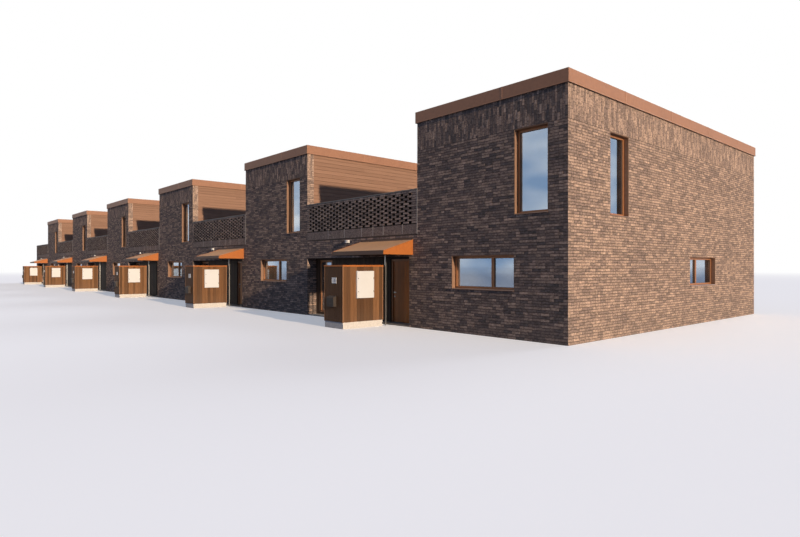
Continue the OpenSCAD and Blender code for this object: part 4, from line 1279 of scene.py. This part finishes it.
def makePlates():
    plates, screws, numbers = [], [], []
    edge = plate["screwIn"]
    sides = sorted(facing("number_plates", -northward), key=lambda side: -side[0]["origin"][0])
    for i, (base, w, h, d) in enumerate(sides):
        numbers.append(numberOn(base, i, plate["number"] * h))
        plates.append(blocks(base, 0, w, 0, h, -d, -plate["back"]))
        plates.append(ring(base, bevelled(-plate["rim"], 0, -plate["rimBury"], 0, plate["rimBevel"])))
        for a in (edge, w - edge):
            for b in (edge, h - edge):
                screws.append(spun(base, (a, b), plate["screw"], segments=12))
    piece = makePiece("numberPlates", plates, platePaint)
    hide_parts("number_plates")
    makePiece("plateScrews", screws, brushedSteel, rounded=True)
    makePiece("plateNumbers", numbers, letterMetal)


# Wall lamps: half an ellipse carried upright, with a plate at its foot and head
wallLamp = {"points": 17, "end": 0.006, "endLap": 0.0005, "shadeIn": 0.003}


def makeWallLamps():
    shades, ends = [], []
    t = np.linspace(0, math.pi, wallLamp["points"])
    end, inset = wallLamp["end"], wallLamp["shadeIn"]
    for side, w, tall, d in facing("wall_lamps", -northward):
        base = turned(side)
        arc = np.stack([w / 2 + w / 2 * np.cos(t), -d + d * np.sin(t)], axis=1)
        inner = np.stack([w / 2 + (w / 2 - inset) * np.cos(t), -d + (d - inset) * np.sin(t)], axis=1)
        shades.append(strips(base, end, tall - end, 0, inner))
        ends.append(strips(base, 0, end + wallLamp["endLap"], 0, arc))
        ends.append(strips(base, tall - end - wallLamp["endLap"], tall, 0, arc))
    piece = makePiece("lampShades", shades, lampPlastic, rounded=True)
    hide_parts("wall_lamps")
    makePiece("lampEnds", ends, platePaint, rounded=True)


makeJoinery()
makeEntrances()
makeCanopies()
makeSheds()
makeCabinets()
makeLetterboxes()
makePlates()
makeWallLamps()
print("joinery, canopies and sheds made")

# Floor and backdrop: pale and plain, fading to white far away
floor = {"size": 400.0, "fade": (26.0, 110.0), "shade": 0.80, "bounce": 0.19, "lift": 0.30, "mirrored": 0.6}


def makeFloor():
    mesh = bpy.data.meshes.new("floor")
    half = floor["size"]
    corners = [(-half, -half, 0), (half, -half, 0), (half, half, 0), (-half, half, 0)]
    mesh.from_pydata(corners, [], [(0, 1, 2, 3)])
    piece = bpy.data.objects.new("floor", mesh)
    scene.collection.objects.link(piece)
    material = bpy.data.materials.new("floor")
    material.use_nodes = True
    tree = material.node_tree
    tree.nodes.clear()
    path = tree.nodes.new("ShaderNodeLightPath").outputs
    mirrored = mathNode(tree, "MULTIPLY", path["Is Glossy Ray"], floor["mirrored"])
    seen = mathNode(tree, "MAXIMUM", path["Is Camera Ray"], mirrored)
    away = addNode(tree, "ShaderNodeVectorMath", objectVector(tree))
    away.operation = "LENGTH"
    fade = addNode(tree, "ShaderNodeMapRange", away.outputs["Value"])
    fade.interpolation_type = "SMOOTHSTEP"
    fade.inputs["From Min"].default_value, fade.inputs["From Max"].default_value = floor["fade"]
    shade = mixNode(tree, seen, (floor["bounce"],) * 3, (floor["shade"],) * 3)
    diffuse = addNode(tree, "ShaderNodeBsdfDiffuse", shade)
    glow = addNode(tree, "ShaderNodeEmission", Strength=mathNode(tree, "MULTIPLY", seen, floor["lift"]))
    close = addNode(tree, "ShaderNodeAddShader", diffuse.outputs[0], glow.outputs[0])
    white = addNode(tree, "ShaderNodeEmission")
    far = mathNode(tree, "MULTIPLY", seen, fade.outputs[0])
    mix = addNode(tree, "ShaderNodeMixShader", far, close.outputs[0], white.outputs[0])
    addNode(tree, "ShaderNodeOutputMaterial", mix.outputs[0])
    mesh.materials.append(material)


# Light: a warm and low key lamp along the row, a soft weak one on the garden side, and a cool even sky
light = {"travel": (-6.24, 0.58, -1.5), "power": 4.55, "colour": (1.0, 0.775, 0.55), "angle": 1.2,
         "sky": (0.43, 0.60, 1.0), "skyPower": 0.34, "fillTravel": (0.0, -1.0, -0.7), "fillPower": 0.8,
         "fillColour": (0.86, 0.92, 1.0), "fillAngle": 30.0}


# A sun lamp that shines along a direction: panned by its level part, then dropped from the plumb line
def makeLamp(name, travel, power, colour, angle):
    data = bpy.data.lights.new(name, "SUN")
    data.energy = power
    data.color = colour
    data.angle = math.radians(angle)
    lamp = bpy.data.objects.new(name, data)
    pan = math.atan2(travel[1], travel[0]) - math.pi / 2
    drop = math.atan2(math.hypot(travel[0], travel[1]), -travel[2])
    lamp.rotation_euler = (drop, 0, pan)
    scene.collection.objects.link(lamp)


def makeLight():
    makeLamp("keyLamp", light["travel"], light["power"], light["colour"], light["angle"])
    makeLamp("gardenLamp", light["fillTravel"], light["fillPower"], light["fillColour"], light["fillAngle"])
    world = bpy.data.worlds.new("paleWorld")
    scene.world = world
    world.use_nodes = True
    tree = world.node_tree
    path = tree.nodes.new("ShaderNodeLightPath").outputs
    seen = mathNode(tree, "MAXIMUM", path["Is Camera Ray"], path["Is Glossy Ray"])
    seen = mathNode(tree, "MAXIMUM", seen, path["Is Transmission Ray"])
    sky = tuple(c * light["skyPower"] for c in light["sky"])
    feed(tree, tree.nodes["Background"], mixNode(tree, seen, sky, (1, 1, 1)))


makeFloor()
makeLight()
scene.view_settings.view_transform = "Standard"
print("stage set")
